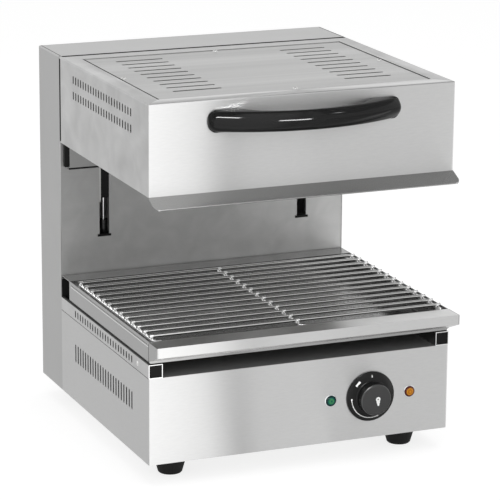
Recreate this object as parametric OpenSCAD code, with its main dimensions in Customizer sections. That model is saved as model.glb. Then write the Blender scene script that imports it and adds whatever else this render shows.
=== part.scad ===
// Lift-head cheese melter: a fixed base and rear column in folded stainless steel, a grill
// head that slides up and down the column on two guide rods and gas struts, a drip tray
// that draws out along two rails, and a loose wire rack.
// Frame: +Z up, the front faces -Y, origin on the ground under the middle of the object.

/* [Cabinet] */
// Width across the side panels
cabinet_w = 450; // [430:5:600]
// Depth from the front panel to the rear flanges
cabinet_d = 455; // [450:5:520]
// Height above the feet
cabinet_h = 500; // [490:5:580]
// Depth of the rear column that holds the lift
column_d = 91; // [86:1:110]
// Height of the base box under the rails
base_h = 123; // [110:1:135]
// Thickness of the steel sheet
sheet_t = 1; // [0.8:0.1:1.4]
// Outside bend radius of the sheet
bend_r = 2; // [2:0.5:4]
// Width of a stiffening flange folded inwards
flange_w = 12; // [8:1:16]

/* [Feet] */
// Height of a foot
foot_h = 30.5; // [20:0.5:40]
// Radius of a foot where it meets the base
foot_top_r = 24.5; // [16:0.5:28]
// Radius of a foot on the ground
foot_bottom_r = 17; // [13:0.5:24]
// Distance of a foot's centre from the side panels
foot_inset_x = 50; // [35:1:80]
// Distance of a foot's centre from the front panel and from the rear
foot_inset_y = 51; // [35:1:80]
// Radius of the foot screws
foot_screw_r = 2.5; // [2:0.5:4]

/* [Vents] */
// Number of slots in a row
vent_count = 23; // [10:1:24]
// Distance from slot to slot
vent_pitch = 10.7; // [9:0.1:11.5]
// Width of a vent slot
vent_w = 4; // [3:0.5:6]
// Distance of the first slot from the front panel
vent_front = 66.5; // [50:0.5:80]
// Length of a slot in the base
base_vent_len = 27; // [15:1:40]
// Height of the middle of the base slots above the underside
base_vent_z = 73.5; // [50:0.5:85]
// Length of a slot in the rails
rail_vent_len = 10.5; // [7:0.5:12]
// Length of a slot in the head
head_vent_len = 11.7; // [8:0.1:16]
// Distance from the top to the middle of the upper row in the head
head_vent_drop = 23.2; // [20:0.1:30]
// Distance between the two rows in the head
head_vent_gap = 22.4; // [20:0.1:28]

/* [Rails and tray] */
// Width of a rail
rail_w = 20; // [16:1:26]
// Height of a rail
rail_h = 19.5; // [16:0.5:24]
// Distance of the rail rivet from the front
rivet_y = 44; // [20:1:60]
// Thickness of the glide strips on the rails
glide_t = 1.5; // [1:0.1:3]
// Height of the drip tray
tray_h = 30.5; // [28:0.5:40]
// Side clearance between the tray and the outer face of the rails
tray_side_gap = 1; // [0.5:0.5:3]
// Depth of the tray's rear flange
tray_flange = 32; // [20:1:40]
// How far the tray's nose stands out in front
nose_out = 32; // [20:1:40]
// Height of the nose's front face
nose_face_h = 14; // [10:1:20]
// Radius of the tray's bottom edges
tray_edge_r = 3; // [2:0.5:6]
// Width of the ledge that carries the rack
ledge_w = 12; // [10:1:16]

/* [Wire rack] */
// Number of cross wires
wire_count = 13; // [8:1:13]
// Distance from wire to wire
wire_pitch = 24; // [18:0.5:24.5]
// Diameter of the cross wires
wire_d = 4.5; // [3:0.5:6]
// Diameter of the support wires under them
support_d = 5; // [4:0.5:7]
// Clearance between the cross wires and the tray's walls
rack_side_gap = 4.5; // [3:0.5:8]
// Distance of the first cross wire from the tray's front wall
rack_front = 14.5; // [13:0.5:20]
// Bend radius of the support wires' front ends
support_bend = 7; // [5:1:8]

/* [Head] */
// Height of the head
head_h = 125.5; // [122:0.5:150]
// Gap between the head and the column
seam_gap = 1.4; // [0.8:0.1:3]
// Width of the top rim along the sides
rim_side = 24; // [18:1:34]
// Width of the top rim along the front
rim_front = 27; // [18:1:34]
// Width of the top rim along the rear
rim_rear = 31; // [24:1:40]
// Gap round the top plate
plate_gap = 1.2; // [0.5:0.1:2]
// Number of slots in each group of the top plate
plate_slot_count = 10; // [5:1:10]
// Distance from slot to slot in the top plate
plate_slot_pitch = 25; // [18:0.5:25.5]
// Length of a slot in the top plate
plate_slot_len = 71; // [40:1:80]
// Width of a slot in the top plate
plate_slot_w = 5; // [3:0.5:8]
// Distance of the slot groups' middle from the centre line
plate_slot_x = 126.5; // [110:0.5:135]
// Distance of the first slot from the front panel
plate_slot_front = 74; // [50:1:80]
// How far the visor stands out under the front panel
visor_out = 26.5; // [18:0.5:32]
// How far the visor drops at its edge
visor_drop = 12.5; // [8:0.5:16]
// Depth of the reflector above the underside
reflector_h = 58; // [48:1:64]
// Distance from the side panels to the reflector
reflector_side = 32; // [28:1:45]
// Distance from the front panel to the reflector
reflector_front = 26; // [24:1:40]
// Distance from the reflector to the rear of the head
reflector_rear = 36; // [34:1:50]
// Thickness of the insulation above the reflector
insulation_t = 25; // [15:1:30]
// Diameter of the heating tubes
element_d = 8; // [6:0.5:10]
// Height of the heating tubes above the underside
element_z = 24; // [20:1:32]
// Distance from the reflector's front and rear walls to the nearest heating tube
element_edge = 24; // [18:1:30]

/* [Handle] */
// Length of the handle
handle_w = 282; // [220:2:320]
// Height of the handle
handle_h = 28; // [22:0.5:34]
// How far the handle stands out
handle_out = 47; // [40:1:60]
// Length of each end that lies on the panel
handle_foot = 42; // [35:1:60]
// Thickness of the grip at its middle
grip_t = 14; // [10:1:18]
// Distance from the top of the head to the middle of the handle
handle_drop = 29; // [22:0.5:40]
// How far the handle's upper and lower edges slope towards its front face
handle_bevel = 4.5; // [2:0.5:7]

/* [Controls] */
// Distance of the knob from the right side panel
knob_inset = 120.3; // [100:0.1:135]
// Height of the knob and lamps above the underside of the base
knob_z = 61; // [50:1:70]
// Distance of each lamp from the knob
lamp_dx = 60.5; // [52:0.5:70]
// Radius of the knob's cap
knob_r = 23; // [18:0.5:26]
// How far the knob stands out of the panel
knob_out = 21.5; // [16:0.5:26]
// Radius of the knob's skirt
skirt_r = 36; // [30:1:40]
// Thickness of the skirt at its edge
skirt_t = 2.5; // [2:0.5:4]
// How far the skirt rises from its edge to the cap
skirt_rise = 3.5; // [2:0.5:5]
// Radius of the regulator's shaft
shaft_r = 3; // [2:0.5:4]
// Radius of a lamp's bezel
bezel_r = 8.6; // [7:0.1:11]

/* [Lift] */
// Travel of the head from its top position
lift_travel = 140; // [100:5:140]
// Width of a slot in the rear wall
slot_w = 15; // [13:0.5:18]
// Distance of a slot's middle from the side panels
slot_inset = 67.5; // [60:0.5:75]
// Thickness of an arm
arm_t = 2.5; // [2:0.5:4]
// Height of an arm's tongue through the slot
arm_h = 93; // [80:1:94]
// How far an arm's tail hangs below the head
arm_tail = 95; // [60:1:100]
// Radius of the guide rods
rod_r = 6; // [5:0.5:8]
// Distance between a guide rod and the gas strut beside it
rod_gap = 40; // [36:1:50]
// Wall of the bushes
bush_wall = 2; // [1.5:0.5:3]
// Height of a slider
slider_h = 66; // [50:1:68]
// Radius of a strut's cylinder
strut_r = 7.5; // [7:0.5:9]
// Radius of a strut's rod
strut_rod_r = 3; // [2.5:0.5:5]
// Thickness of the brackets across the column
bracket_t = 2; // [1.5:0.5:3]

/* [Rear] */
// Radius of the cable entry in the gland
entry_r = 5.2; // [4:0.1:7]
// How far the gland stands out of the rear cover
gland_out = 18; // [14:1:24]
// Distance of the gland from the side panels
gland_inset = 85; // [70:1:120]
// Height of the gland above the underside of the base
gland_z = 60; // [45:1:90]
// Radius of the bonding stud
stud_r = 3; // [2.5:0.5:4]

/* [Fits] */
// Clearance between pieces of different bodies
free_gap = 0.3; // [0.2:0.1:0.6]
// Radial clearance of a sliding shaft in its bore
running_gap = 0.05; // [0.03:0.01:0.08]
// Radial clearance of a screw in its hole
hole_gap = 0.2; // [0.1:0.05:0.4]

/* [Hidden] */
$fn = 48;

// Levels above the ground
z_base = foot_h;
z_deck = z_base + base_h;
z_rail = z_deck + rail_h;
z_top = z_base + cabinet_h;
z_head = z_top - head_h;
z_tray = z_rail + glide_t + free_gap;
z_rim = z_tray + tray_h;
z_knob = z_base + knob_z;

// Depths: the front panel, the seam to the column, the rear and what stands out of it
front_reach = max(handle_out, nose_out, knob_out);
y_front = front_reach - (front_reach + cabinet_d + sheet_t + gland_out) / 2;
y_back = y_front + cabinet_d;
y_seam = y_back - column_d;
y_cover = y_back + sheet_t;
base_d = y_seam - y_front;
half_w = cabinet_w / 2;
inner_w = half_w - sheet_t;

// The head's box: its rear face, and the inside of its rear panel
y_head = y_seam - seam_gap;
y_head_in = y_head - sheet_t;

// Rear wall and its slots
wall_step = 0.8;
slot_x = half_w - slot_inset;
y_wall = y_seam + wall_step;
y_wall_back = y_wall + sheet_t;
slot_lip = 6;
slot_stop_h = 3;
slot_bottom = z_head - lift_travel - 6;
slot_top = z_head + arm_h + 8;

// Lift: arms, carriage, rods and struts
slot_clear = 0.6;
arm_outer = slot_x + slot_w / 2 - slot_clear;
arm_inner = arm_outer - arm_t;
arm_z0 = z_head + 5.5;
arm_z1 = arm_z0 + arm_h;
arm_gap = 0.8;
arm_foot_w = 28;
guard_gap = 0.5;
guard_w = 47;
y_lift = y_seam + 21;
y_carriage = y_lift + 12;
y_arm_back = y_carriage + arm_t;
slider_z = z_head + 25;
slider_half = 18;
slider_front = 12;
bush_r = rod_r + running_gap + bush_wall;
bush_len = 20;
strut_x = arm_inner - strut_r - 2.5;
rod_x = strut_x - rod_gap;
gland_x = half_w - gland_inset;
lug_z = z_head + 21;
lug_half = strut_r + 0.8;
strut_top = lug_z - lift_travel - 7;
gland_len = 12;
piston_h = 8;
strut_wall = 1.5;
strut_plug = 8;
strut_len = gland_len + lift_travel + piston_h + 2 * 2 + strut_plug;
strut_bottom = strut_top - strut_len;
lower_bracket_z = strut_bottom - bracket_t;
upper_bracket_z = z_top - 22;
bracket_half = 14;
bracket_lip = 10;
thread_r = 4;
nut_r = 7;
nut_h = 5;
top_thread_r = strut_rod_r - 0.5;

// Tray and rack
tray_half = half_w - tray_side_gap;
tray_front = y_front + 1;
tray_rear = y_seam - tray_flange - 1;
tray_t = sheet_t;
nose_half = half_w;
rack_z = z_rim - 1.5;
ledge_z = rack_z - support_d / 2 - free_gap;
rack_half = tray_half - tray_t - rack_side_gap;
support_x = rack_half - support_d / 2 - 1;
wire_z = rack_z + support_d / 2 + wire_d / 2;
rack_y = tray_front + tray_t + rack_front;

// Top plate
rim_x = half_w - rim_side;
rim_y0 = y_front + rim_front;
rim_y1 = y_head - rim_rear;
z_plate = z_top - 0.8 * sheet_t;
plate_ledge = 12;
plate_screw_in = 7;
screw_r = 1.5;
screw_head_r = 3.6;
screw_head_h = 1.8;

// Reflector and heating tubes
reflector_t = 0.8;
reflector_x = half_w - reflector_side;
reflector_y0 = y_front + reflector_front;
reflector_y1 = y_head - reflector_rear;
element_r = element_d / 2;
element_runs = 4;
element_half = reflector_x - 40;
element_room = reflector_y1 - reflector_y0 - 2 * element_edge;
element_pitch = floor(10 * element_room / (2 * element_runs - 1)) / 10;
element_mid = (reflector_y0 + reflector_y1) / 2;
terminal_len = 14;
holder_x = 90;
holder_w = 6;

// Handle sections
handle_half = handle_w / 2;
handle_z = z_top - handle_drop;
handle_end = 8;
handle_end_r = 12;
handle_flare = 1.5;
handle_sag = handle_out - handle_end;
handle_arc_r = (pow(handle_half, 2) + pow(handle_sag, 2)) / (2 * handle_sag);
handle_sections = 44;
corner_steps = 3;
handle_screw_r = 2.5;

// Knob, regulator and lamps
knob_x = half_w - knob_inset;
collar_r = 5;
collar_out = 5;
lens_r = bezel_r - 0.8;
sleeve_r = bezel_r - 3;
visor_corner_r = 10;
lip_t = 1.2 * sheet_t;

// A block between two corners given as ranges
module block(x, y, z) {
    translate([x[0], y[0], z[0]]) cube([x[1] - x[0], y[1] - y[0], z[1] - z[0]]);
}

// A flat shape drawn in (y, z) and carried along X
module extrude_x(x0, x1) {
    translate([x0, 0, 0]) rotate([90, 0, 90]) linear_extrude(x1 - x0) children();
}

// A flat shape drawn in (x, z) and carried along Y
module extrude_y(y0, y1) {
    translate([0, y1, 0]) rotate([90, 0, 0]) linear_extrude(y1 - y0) children();
}

// A flat shape drawn in (x, y) and carried along Z
module extrude_z(z0, z1) {
    translate([0, 0, z0]) linear_extrude(z1 - z0) children();
}

// A round bar along Y
module bar_y(x, z, y0, y1, r) {
    translate([x, y1, z]) rotate([90, 0, 0]) cylinder(h = y1 - y0, r = r);
}

// A round bar along Z
module bar_z(x, y, z0, z1, r) {
    translate([x, y, z0]) cylinder(h = z1 - z0, r = r);
}

// The same piece on the left, as a mirror image of the right
module on_left() {
    mirror([1, 0, 0]) children();
}

module on_both_sides() {
    children();
    mirror([1, 0, 0]) children();
}

// A round-ended slot, upright and centred
module slot_shape(length, width) {
    square([width, length - width], center = true);
    for (s = [-1, 1]) translate([0, s * (length - width) / 2]) circle(width / 2);
}

// A rectangle with round corners
module round_rect(w, h, r) {
    square([w - 2 * r, h], center = true);
    square([w, h - 2 * r], center = true);
    for (sx = [-1, 1], sy = [-1, 1]) translate([sx * (w / 2 - r), sy * (h / 2 - r)]) circle(r);
}

// A plan with its two front corners rounded, from the front edge backwards
module front_plan(w, d, r) {
    translate([-w / 2, r]) square([w, d - r]);
    translate([-w / 2 + r, 0]) square([w - 2 * r, d]);
    for (s = [-1, 1]) translate([s * (w / 2 - r), r]) circle(r);
}

// A face with its two upper corners rounded, from the lower edge upwards
module arch_face(w, h, r) {
    translate([-w / 2, 0]) square([w, h - r]);
    translate([-w / 2 + r, 0]) square([w - 2 * r, h]);
    for (s = [-1, 1]) translate([s * (w / 2 - r), h - r]) circle(r);
}

// A row of vent slots through a side panel, at the height z
module vent_row(x0, x1, z, length) {
    for (i = [0 : vent_count - 1])
        extrude_x(x0, x1)
            translate([y_front + vent_front + i * vent_pitch, z]) slot_shape(length, vent_w);
}

// A domed screw head that stands on z = 0
module dome(r, h) {
    ball_r = (r * r + h * h) / (2 * h);
    intersection() {
        translate([0, 0, h - ball_r]) sphere(ball_r);
        cylinder(h = h, r = r);
    }
}

// A domed screw: head above z = 0, shank below
module dome_screw(head_r, head_h, shank_r, shank_len) {
    dome(head_r, head_h);
    translate([0, 0, -shank_len]) cylinder(h = shank_len, r = shank_r);
}

// A hexagon nut that stands on z = 0
module nut(r, bore_r, h) {
    difference() {
        cylinder(h = h, r = r, $fn = 6);
        translate([0, 0, -1]) cylinder(h = h + 2, r = bore_r);
    }
}

// Base ---------------------------------------------------------------------------------

// Front and sides of the base, folded from one sheet
module base_wrap() {
    color("silver") difference() {
        translate([0, y_front, z_base]) linear_extrude(base_h) difference() {
            front_plan(cabinet_w, base_d, bend_r);
            translate([0, sheet_t]) front_plan(2 * inner_w, base_d, bend_r - sheet_t / 2);
        }
        on_both_sides() vent_row(inner_w - 1, half_w + 1, z_base + base_vent_z, base_vent_len);
        panel_hole(knob_x, collar_r);
        for (s = [-1, 1]) panel_hole(knob_x + s * lamp_dx, sleeve_r);
    }
}

// A round hole in the front panel
module panel_hole(x, r) {
    bar_y(x, z_knob, y_front - 1, y_front + sheet_t + 1, r + hole_gap);
}

// A sheet pan that fits inside the folded base, with its flanges up or down
module base_pan(y1, z_sheet, z_flange) {
    r = bend_r - sheet_t / 2;
    z0 = min(z_sheet, z_flange);
    z1 = max(z_sheet + sheet_t, z_flange);
    depth = y1 - y_front - sheet_t;
    difference() {
        translate([0, y_front + sheet_t, z0]) linear_extrude(z1 - z0)
            front_plan(2 * inner_w, depth, r);
        up = z_flange > z_sheet;
        translate([0, y_front + 2 * sheet_t, up ? z0 + sheet_t : z0 - 1])
            linear_extrude(z1 - z0 - sheet_t + 1)
                front_plan(2 * inner_w - 2 * sheet_t, depth - 2 * sheet_t, r);
    }
}

// Bottom of the base and of the column
module base_floor() {
    grille_x = cabinet_w / 7.5;
    grille_len = base_d / 6;
    color("gainsboro") difference() {
        base_pan(y_back - sheet_t, z_base, z_base + flange_w);
        for (p = foot_places()) bar_z(p[0], p[1], z_base - 1, z_base + flange_w, foot_screw_r + hole_gap);
        for (s = [-1, 1], i = [-3 : 3])
            extrude_z(z_base - 1, z_base + sheet_t + 1)
                translate([s * grille_x + i * vent_pitch, y_front + base_d / 2])
                    slot_shape(grille_len, vent_w);
    }
}

// Deck that closes the base under the drip tray
module base_deck() {
    color([0.1, 0.1, 0.1]) base_pan(y_seam, z_deck - sheet_t, z_deck - flange_w);
}

// Box-section rail along one side, open at its front end
module rail_right() {
    color("silver") difference() {
        block([half_w - rail_w, half_w], [y_front, y_seam], [z_deck, z_rail]);
        block([half_w - rail_w + sheet_t, half_w - sheet_t], [y_front - 1, y_seam + 1],
            [z_deck + sheet_t, z_rail - sheet_t]);
        vent_row(half_w - sheet_t - 1, half_w + 1, z_deck + rail_h / 2, rail_vent_len);
        rivet_hole();
    }
}

module rail_left() {
    on_left() rail_right();
}

// Black plugs in the open ends of the rails
module rail_plugs() {
    recess = 1.5;
    plug_len = 10;
    color([0.05, 0.05, 0.05]) on_both_sides()
        block([half_w - rail_w + sheet_t, half_w - sheet_t],
            [y_front + recess, y_front + recess + plug_len], [z_deck + sheet_t, z_rail - sheet_t]);
}

// Black strips on the rails, on which the drip tray slides
module rail_glides() {
    inset = 2;
    color([0.05, 0.05, 0.05]) on_both_sides()
        block([half_w - rail_w + inset, half_w - inset], [y_front + inset, y_seam - inset],
            [z_rail, z_rail + glide_t]);
}

module rivet_hole() {
    translate([half_w - sheet_t - 1, y_front + rivet_y, z_deck + rail_h / 2])
        rotate([0, 90, 0]) cylinder(h = sheet_t + 2, r = screw_r + hole_gap);
}

// Rivets that hold the rails
module rail_rivets() {
    color("silver") on_both_sides()
        translate([half_w, y_front + rivet_y, z_deck + rail_h / 2])
            rotate([0, 90, 0]) dome_screw(screw_head_r, 1, screw_r, sheet_t + 2);
}

// The four foot centres: front left, front right, rear left, rear right
function foot_places() = [
    for (y = [y_front + foot_inset_y, y_back - foot_inset_y], s = [-1, 1])
        [s * (half_w - foot_inset_x), y]
];

// Tapered rubber foot with a recess for its screw
module foot(i) {
    recess_r = foot_bottom_r * 0.42;
    recess_h = foot_h * 0.4;
    chamfer = 1.5;
    rim = 2;
    bore_r = foot_screw_r + hole_gap;
    color([0.06, 0.06, 0.06]) translate([foot_places()[i][0], foot_places()[i][1], 0])
        rotate_extrude() polygon([
            [bore_r, recess_h], [recess_r, recess_h], [recess_r, 0],
            [foot_bottom_r - chamfer, 0], [foot_bottom_r, chamfer],
            [foot_top_r, foot_h - rim], [foot_top_r, foot_h], [bore_r, foot_h]
        ]);
}

module foot_front_left() {
    foot(0);
}

module foot_front_right() {
    foot(1);
}

module foot_rear_left() {
    foot(2);
}

module foot_rear_right() {
    foot(3);
}

// Screws and nuts that hold the feet
module foot_screws() {
    head_h = 4;
    seat_z = foot_h * 0.4;
    color("silver") for (p = foot_places()) translate([p[0], p[1], 0]) {
        bar_z(0, 0, seat_z, z_base + sheet_t + nut_h + 2, foot_screw_r);
        bar_z(0, 0, seat_z - head_h, seat_z, foot_screw_r * 2);
        translate([0, 0, z_base + sheet_t]) nut(foot_screw_r * 2, foot_screw_r, nut_h);
    }
}

// Controls -----------------------------------------------------------------------------

// Bezels round the lamps, and the nuts that hold the lamps behind the panel
module lamp_bezels() {
    rise = 1.2;
    color("silver") for (s = [-1, 1]) translate([knob_x + s * lamp_dx, y_front, z_knob])
        rotate([90, 0, 0]) {
            rotate_extrude() polygon([
                [lens_r, 0], [bezel_r, 0], [bezel_r, rise / 2], [bezel_r - rise / 2, rise],
                [lens_r, rise]
            ]);
            translate([0, 0, -sheet_t - 3]) nut(bezel_r, sleeve_r, 3);
        }
}

// One lamp: a domed lens on a sleeve that passes through the panel
module lamp(x) {
    edge = 1.6;
    sleeve_len = 16;
    translate([x, y_front, z_knob]) rotate([90, 0, 0]) {
        translate([0, 0, edge]) dome(lens_r, 2.4);
        cylinder(h = edge, r = lens_r);
        translate([0, 0, -sleeve_len]) cylinder(h = sleeve_len, r = sleeve_r);
    }
}

module power_lamp() {
    color([0.1, 0.75, 0.25]) lamp(knob_x - lamp_dx);
}

module heat_lamp() {
    color([0.95, 0.6, 0.1]) lamp(knob_x + lamp_dx);
}

// Energy regulator behind the panel, with a threaded collar through it
module energy_regulator() {
    body_half = 19;
    body_d = 32;
    tab_w = 6;
    tab_t = 0.8;
    y0 = y_front + sheet_t;
    y1 = y0 + body_d;
    color("ivory") difference() {
        union() {
            block([knob_x - body_half, knob_x + body_half], [y0, y1],
                [z_knob - body_half, z_knob + body_half]);
            bar_y(knob_x, z_knob, y_front - collar_out, y0, collar_r);
            for (s = [-1, 1], k = [-1, 1])
                translate([knob_x + s * 2 * tab_w - tab_w / 2, y1, z_knob + k * 8 - tab_t / 2])
                    cube([tab_w, 8, tab_t]);
        }
        bar_y(knob_x, z_knob, y_front - collar_out - 1, y0 + 21, shaft_r + running_gap);
    }
}

// Nut that clamps the regulator to the panel, hidden inside the knob
module regulator_nut() {
    color("silver") translate([knob_x, y_front, z_knob]) rotate([90, 0, 0]) nut(8, collar_r, 3);
}

// The flat on the shaft, over the length that the knob grips
module shaft_flat(y_tip) {
    block([knob_x - shaft_r, knob_x + shaft_r], [y_tip, y_front - collar_out - 1],
        [z_knob + 0.6 * shaft_r, z_knob + shaft_r + 1]);
}

// Shaft of the regulator
module regulator_shaft() {
    y_tip = y_front - knob_out + 5;
    color("silver") difference() {
        bar_y(knob_x, z_knob, y_tip, y_front + sheet_t + 20, shaft_r);
        shaft_flat(y_tip - 1);
    }
}

// Side of the knob as [radius, height]: skirt, fillet, cap and its rounded edge
function knob_side(length) =
    let (edge = 2, fillet = 2.5, foot = skirt_t + skirt_rise)
    concat(
        [[skirt_r - 0.5, 0], [skirt_r, 0.5], [skirt_r, skirt_t - 0.8], [skirt_r - 0.8, skirt_t]],
        [for (a = [0 : 30 : 90]) [knob_r + fillet * (1 - sin(a)), foot + fillet * (1 - cos(a))]],
        [for (a = [0 : 22.5 : 90])
            [knob_r - 0.5 - edge * (1 - cos(a)), length - edge * (1 - sin(a))]]
    );

// Control knob with its skirt, bored for the flatted shaft
module knob() {
    wall = 3;
    hub_r = shaft_r + 3;
    y_face = y_front - knob_out;
    y_rear = y_front - free_gap;
    color([0.07, 0.07, 0.07]) difference() {
        translate([knob_x, y_rear, z_knob]) rotate([90, 0, 0]) rotate_extrude()
            polygon(concat([[0, 0]], knob_side(y_rear - y_face), [[0, y_rear - y_face]]));
        difference() {
            bar_y(knob_x, z_knob, y_face + 5, y_rear + 1, shaft_r);
            shaft_flat(y_face);
        }
        difference() {
            bar_y(knob_x, z_knob, y_face + 2 * wall, y_rear + 1, knob_r - wall);
            bar_y(knob_x, z_knob, y_face, y_front - collar_out - 0.5, hub_r);
        }
    }
}

// Terminal block for the supply, on the floor of the base
module terminal_block() {
    ways = 3;
    way_w = 16;
    depth = 24;
    height = 20;
    foot_x = half_w - foot_inset_x;
    x0 = min(gland_x, foot_x - 15) - ways * way_w;
    y0 = y_lift + bracket_half + 4;
    z0 = z_base + sheet_t;
    color("ivory") difference() {
        block([x0, x0 + ways * way_w], [y0, y0 + depth], [z0, z0 + height]);
        for (i = [0 : ways - 1], s = [-1, 1])
            bar_z(x0 + (i + 0.5) * way_w, y0 + depth / 2 + s * 6, z0 + height - 6, z0 + height + 1, 3);
        for (i = [1 : ways - 1])
            block([x0 + i * way_w - 0.7, x0 + i * way_w + 0.7], [y0 - 1, y0 + depth + 1],
                [z0 + height - 4, z0 + height + 1]);
    }
}

// Cable gland in the rear cover: sleeve, hexagon and domed cap
module cable_gland() {
    body_r = entry_r + 4;
    inside = 14;
    hex_h = 5;
    y0 = y_cover;
    color([0.1, 0.1, 0.1]) translate([gland_x, y0, z_base + gland_z]) rotate([-90, 0, 0])
        difference() {
            union() {
                translate([0, 0, -inside]) cylinder(h = inside, r = body_r);
                cylinder(h = hex_h, r = body_r + 4, $fn = 6);
                translate([0, 0, hex_h]) rotate_extrude() polygon([
                    [0, 0], [body_r + 1.5, 0], [body_r + 1.5, gland_out - hex_h - 5],
                    [body_r - 1, gland_out - hex_h], [0, gland_out - hex_h]
                ]);
                translate([0, 0, -sheet_t - 4]) cylinder(h = 4, r = body_r + 4, $fn = 6);
            }
            translate([0, 0, -inside - 1]) cylinder(h = inside + gland_out + 2, r = entry_r);
        }
}

// Bonding stud beside the gland, with its nut and washer
module bonding_stud() {
    stud_out = 14;
    x = gland_x - 45;
    color("gold") translate([x, y_cover, z_base + gland_z]) rotate([-90, 0, 0]) {
        translate([0, 0, -sheet_t]) cylinder(h = stud_out + sheet_t, r = stud_r);
        translate([0, 0, -sheet_t - 3]) cylinder(h = 3, r = stud_r * 2, $fn = 6);
        difference() {
            cylinder(h = 1.2, r = stud_r * 2.4);
            translate([0, 0, -1]) cylinder(h = 3, r = stud_r);
        }
    }
}

// Column -------------------------------------------------------------------------------

// Sides and top of the column, with flanges for the rear cover
module column_shell() {
    face_h = cabinet_h - sheet_t;
    color("silver") translate([0, 0, z_base]) difference() {
        extrude_y(y_seam, y_back) arch_face(cabinet_w, cabinet_h, bend_r);
        extrude_y(y_seam - 1, y_back - sheet_t)
            translate([0, -1]) arch_face(2 * inner_w, face_h + 1, bend_r - sheet_t / 2);
        extrude_y(y_back - sheet_t - 1, y_back + 1) translate([0, -1])
            arch_face(2 * inner_w - 2 * flange_w, face_h - flange_w + 1, bend_r);
        translate([0, 0, -z_base]) cover_screw_holes();
    }
}

// One slot's opening in the rear wall
module wall_slot() {
    block([slot_x - slot_w / 2, slot_x + slot_w / 2], [y_wall - 1, y_wall_back + slot_lip + 1],
        [slot_bottom, slot_top]);
}

// Rear wall of the cooking space: two lipped slots for the arms, and a window low down
module wall_panel() {
    z0 = z_base + flange_w;
    z1 = z_top - sheet_t;
    window_half = 110;
    color("silver") difference() {
        union() {
            translate([0, 0, z0]) extrude_y(y_wall, y_wall_back)
                arch_face(2 * inner_w, z1 - z0, bend_r);
            on_both_sides() {
                block([inner_w - sheet_t, inner_w], [y_wall, y_wall + flange_w], [z0, z1 - bend_r]);
                block([slot_x - slot_w / 2 - sheet_t, slot_x + slot_w / 2 + sheet_t],
                    [y_wall, y_wall_back + slot_lip], [slot_bottom + 5, slot_top]);
            }
        }
        on_both_sides() wall_slot();
        block([-window_half, window_half], [y_wall - 1, y_wall_back + 1],
            [z0 + 10, z_deck - flange_w - 10]);
    }
}

// Black stops that close the foot of each slot
module slot_stops() {
    bar_half = slot_w / 2 + 2.8;
    color([0.05, 0.05, 0.05]) on_both_sides() {
        block([slot_x - slot_w / 2, slot_x + slot_w / 2], [y_wall, y_wall_back],
            [slot_bottom, slot_bottom + slot_stop_h]);
        block([slot_x - bar_half, slot_x + bar_half], [y_wall - wall_step, y_wall],
            [slot_bottom - 0.5, slot_bottom + slot_stop_h]);
    }
}

// Places of the cover screws as [x, z]
function cover_screws() =
    let (end = 30)
    [
        for (s = [-1, 1], k = [0 : 2])
            [s * (inner_w - flange_w / 2), z_base + end + k * (cabinet_h - 2 * end) / 2],
        for (s = [-1, 1]) [s * cabinet_w / 6, z_top - sheet_t - flange_w / 2]
    ];

module cover_screw_holes() {
    for (p = cover_screws()) bar_y(p[0], p[1], y_back - sheet_t - 1, y_cover + 1, screw_r + hole_gap);
}

// Rear cover with two louvred fields
module rear_cover() {
    margin = 2;
    field_len = 90;
    field_low = 0.2;
    field_step = 0.52;
    rows = 9;
    color("gainsboro") difference() {
        block([-half_w + margin, half_w - margin], [y_back, y_cover],
            [z_base + margin, z_top - margin]);
        for (s = [-1, 1], k = [0, 1], i = [0 : rows - 1])
            extrude_y(y_back - 1, y_cover + 1)
                translate([
                    s * cabinet_w / 5,
                    z_base + cabinet_h * (field_low + field_step * k) + i * vent_pitch
                ])
                    rotate(90) slot_shape(field_len, vent_w);
        cover_screw_holes();
        bar_y(gland_x, z_base + gland_z, y_back - 1, y_cover + 1, entry_r + 4);
        bar_y(gland_x - 45, z_base + gland_z, y_back - 1, y_cover + 1, stud_r);
    }
}

module rear_cover_screws() {
    color("silver") for (p = cover_screws())
        translate([p[0], y_cover, p[1]]) rotate([-90, 0, 0])
            dome_screw(screw_head_r, screw_head_h, screw_r, 2 * sheet_t + 3);
}

// A folded bracket across the column that holds the rods
module cross_bracket(z, lip_z) {
    x1 = inner_w - sheet_t;
    y0 = y_lift - bracket_half;
    y1 = y_lift + bracket_half;
    lips = [min(z, lip_z), max(z + bracket_t, lip_z)];
    for (y = [y0, y1 - bracket_t]) block([-x1, x1], [y, y + bracket_t], lips);
    block([-x1, x1], [y0, y1], [z, z + bracket_t]);
}

// Two brackets across the column: the lower one also carries the struts
module cross_brackets() {
    z0 = lower_bracket_z;
    z1 = upper_bracket_z;
    color("gainsboro") {
        difference() {
            cross_bracket(z0, z0 - bracket_lip);
            on_both_sides() for (x = [rod_x, strut_x])
                bar_z(x, y_lift, z0 - 1, z0 + bracket_t + 1, thread_r);
        }
        difference() {
            cross_bracket(z1, z1 + bracket_lip);
            on_both_sides() bar_z(rod_x, y_lift, z1 - 1, z1 + bracket_t + 1, thread_r);
        }
    }
}

// Guide rod, shouldered between the two brackets
module guide_rod_right() {
    end = bracket_t + nut_h + 2;
    color("gainsboro") {
        bar_z(rod_x, y_lift, lower_bracket_z + bracket_t, upper_bracket_z, rod_r);
        bar_z(rod_x, y_lift, lower_bracket_z + bracket_t - end, upper_bracket_z + end, thread_r);
    }
}

module guide_rod_left() {
    on_left() guide_rod_right();
}

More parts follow.
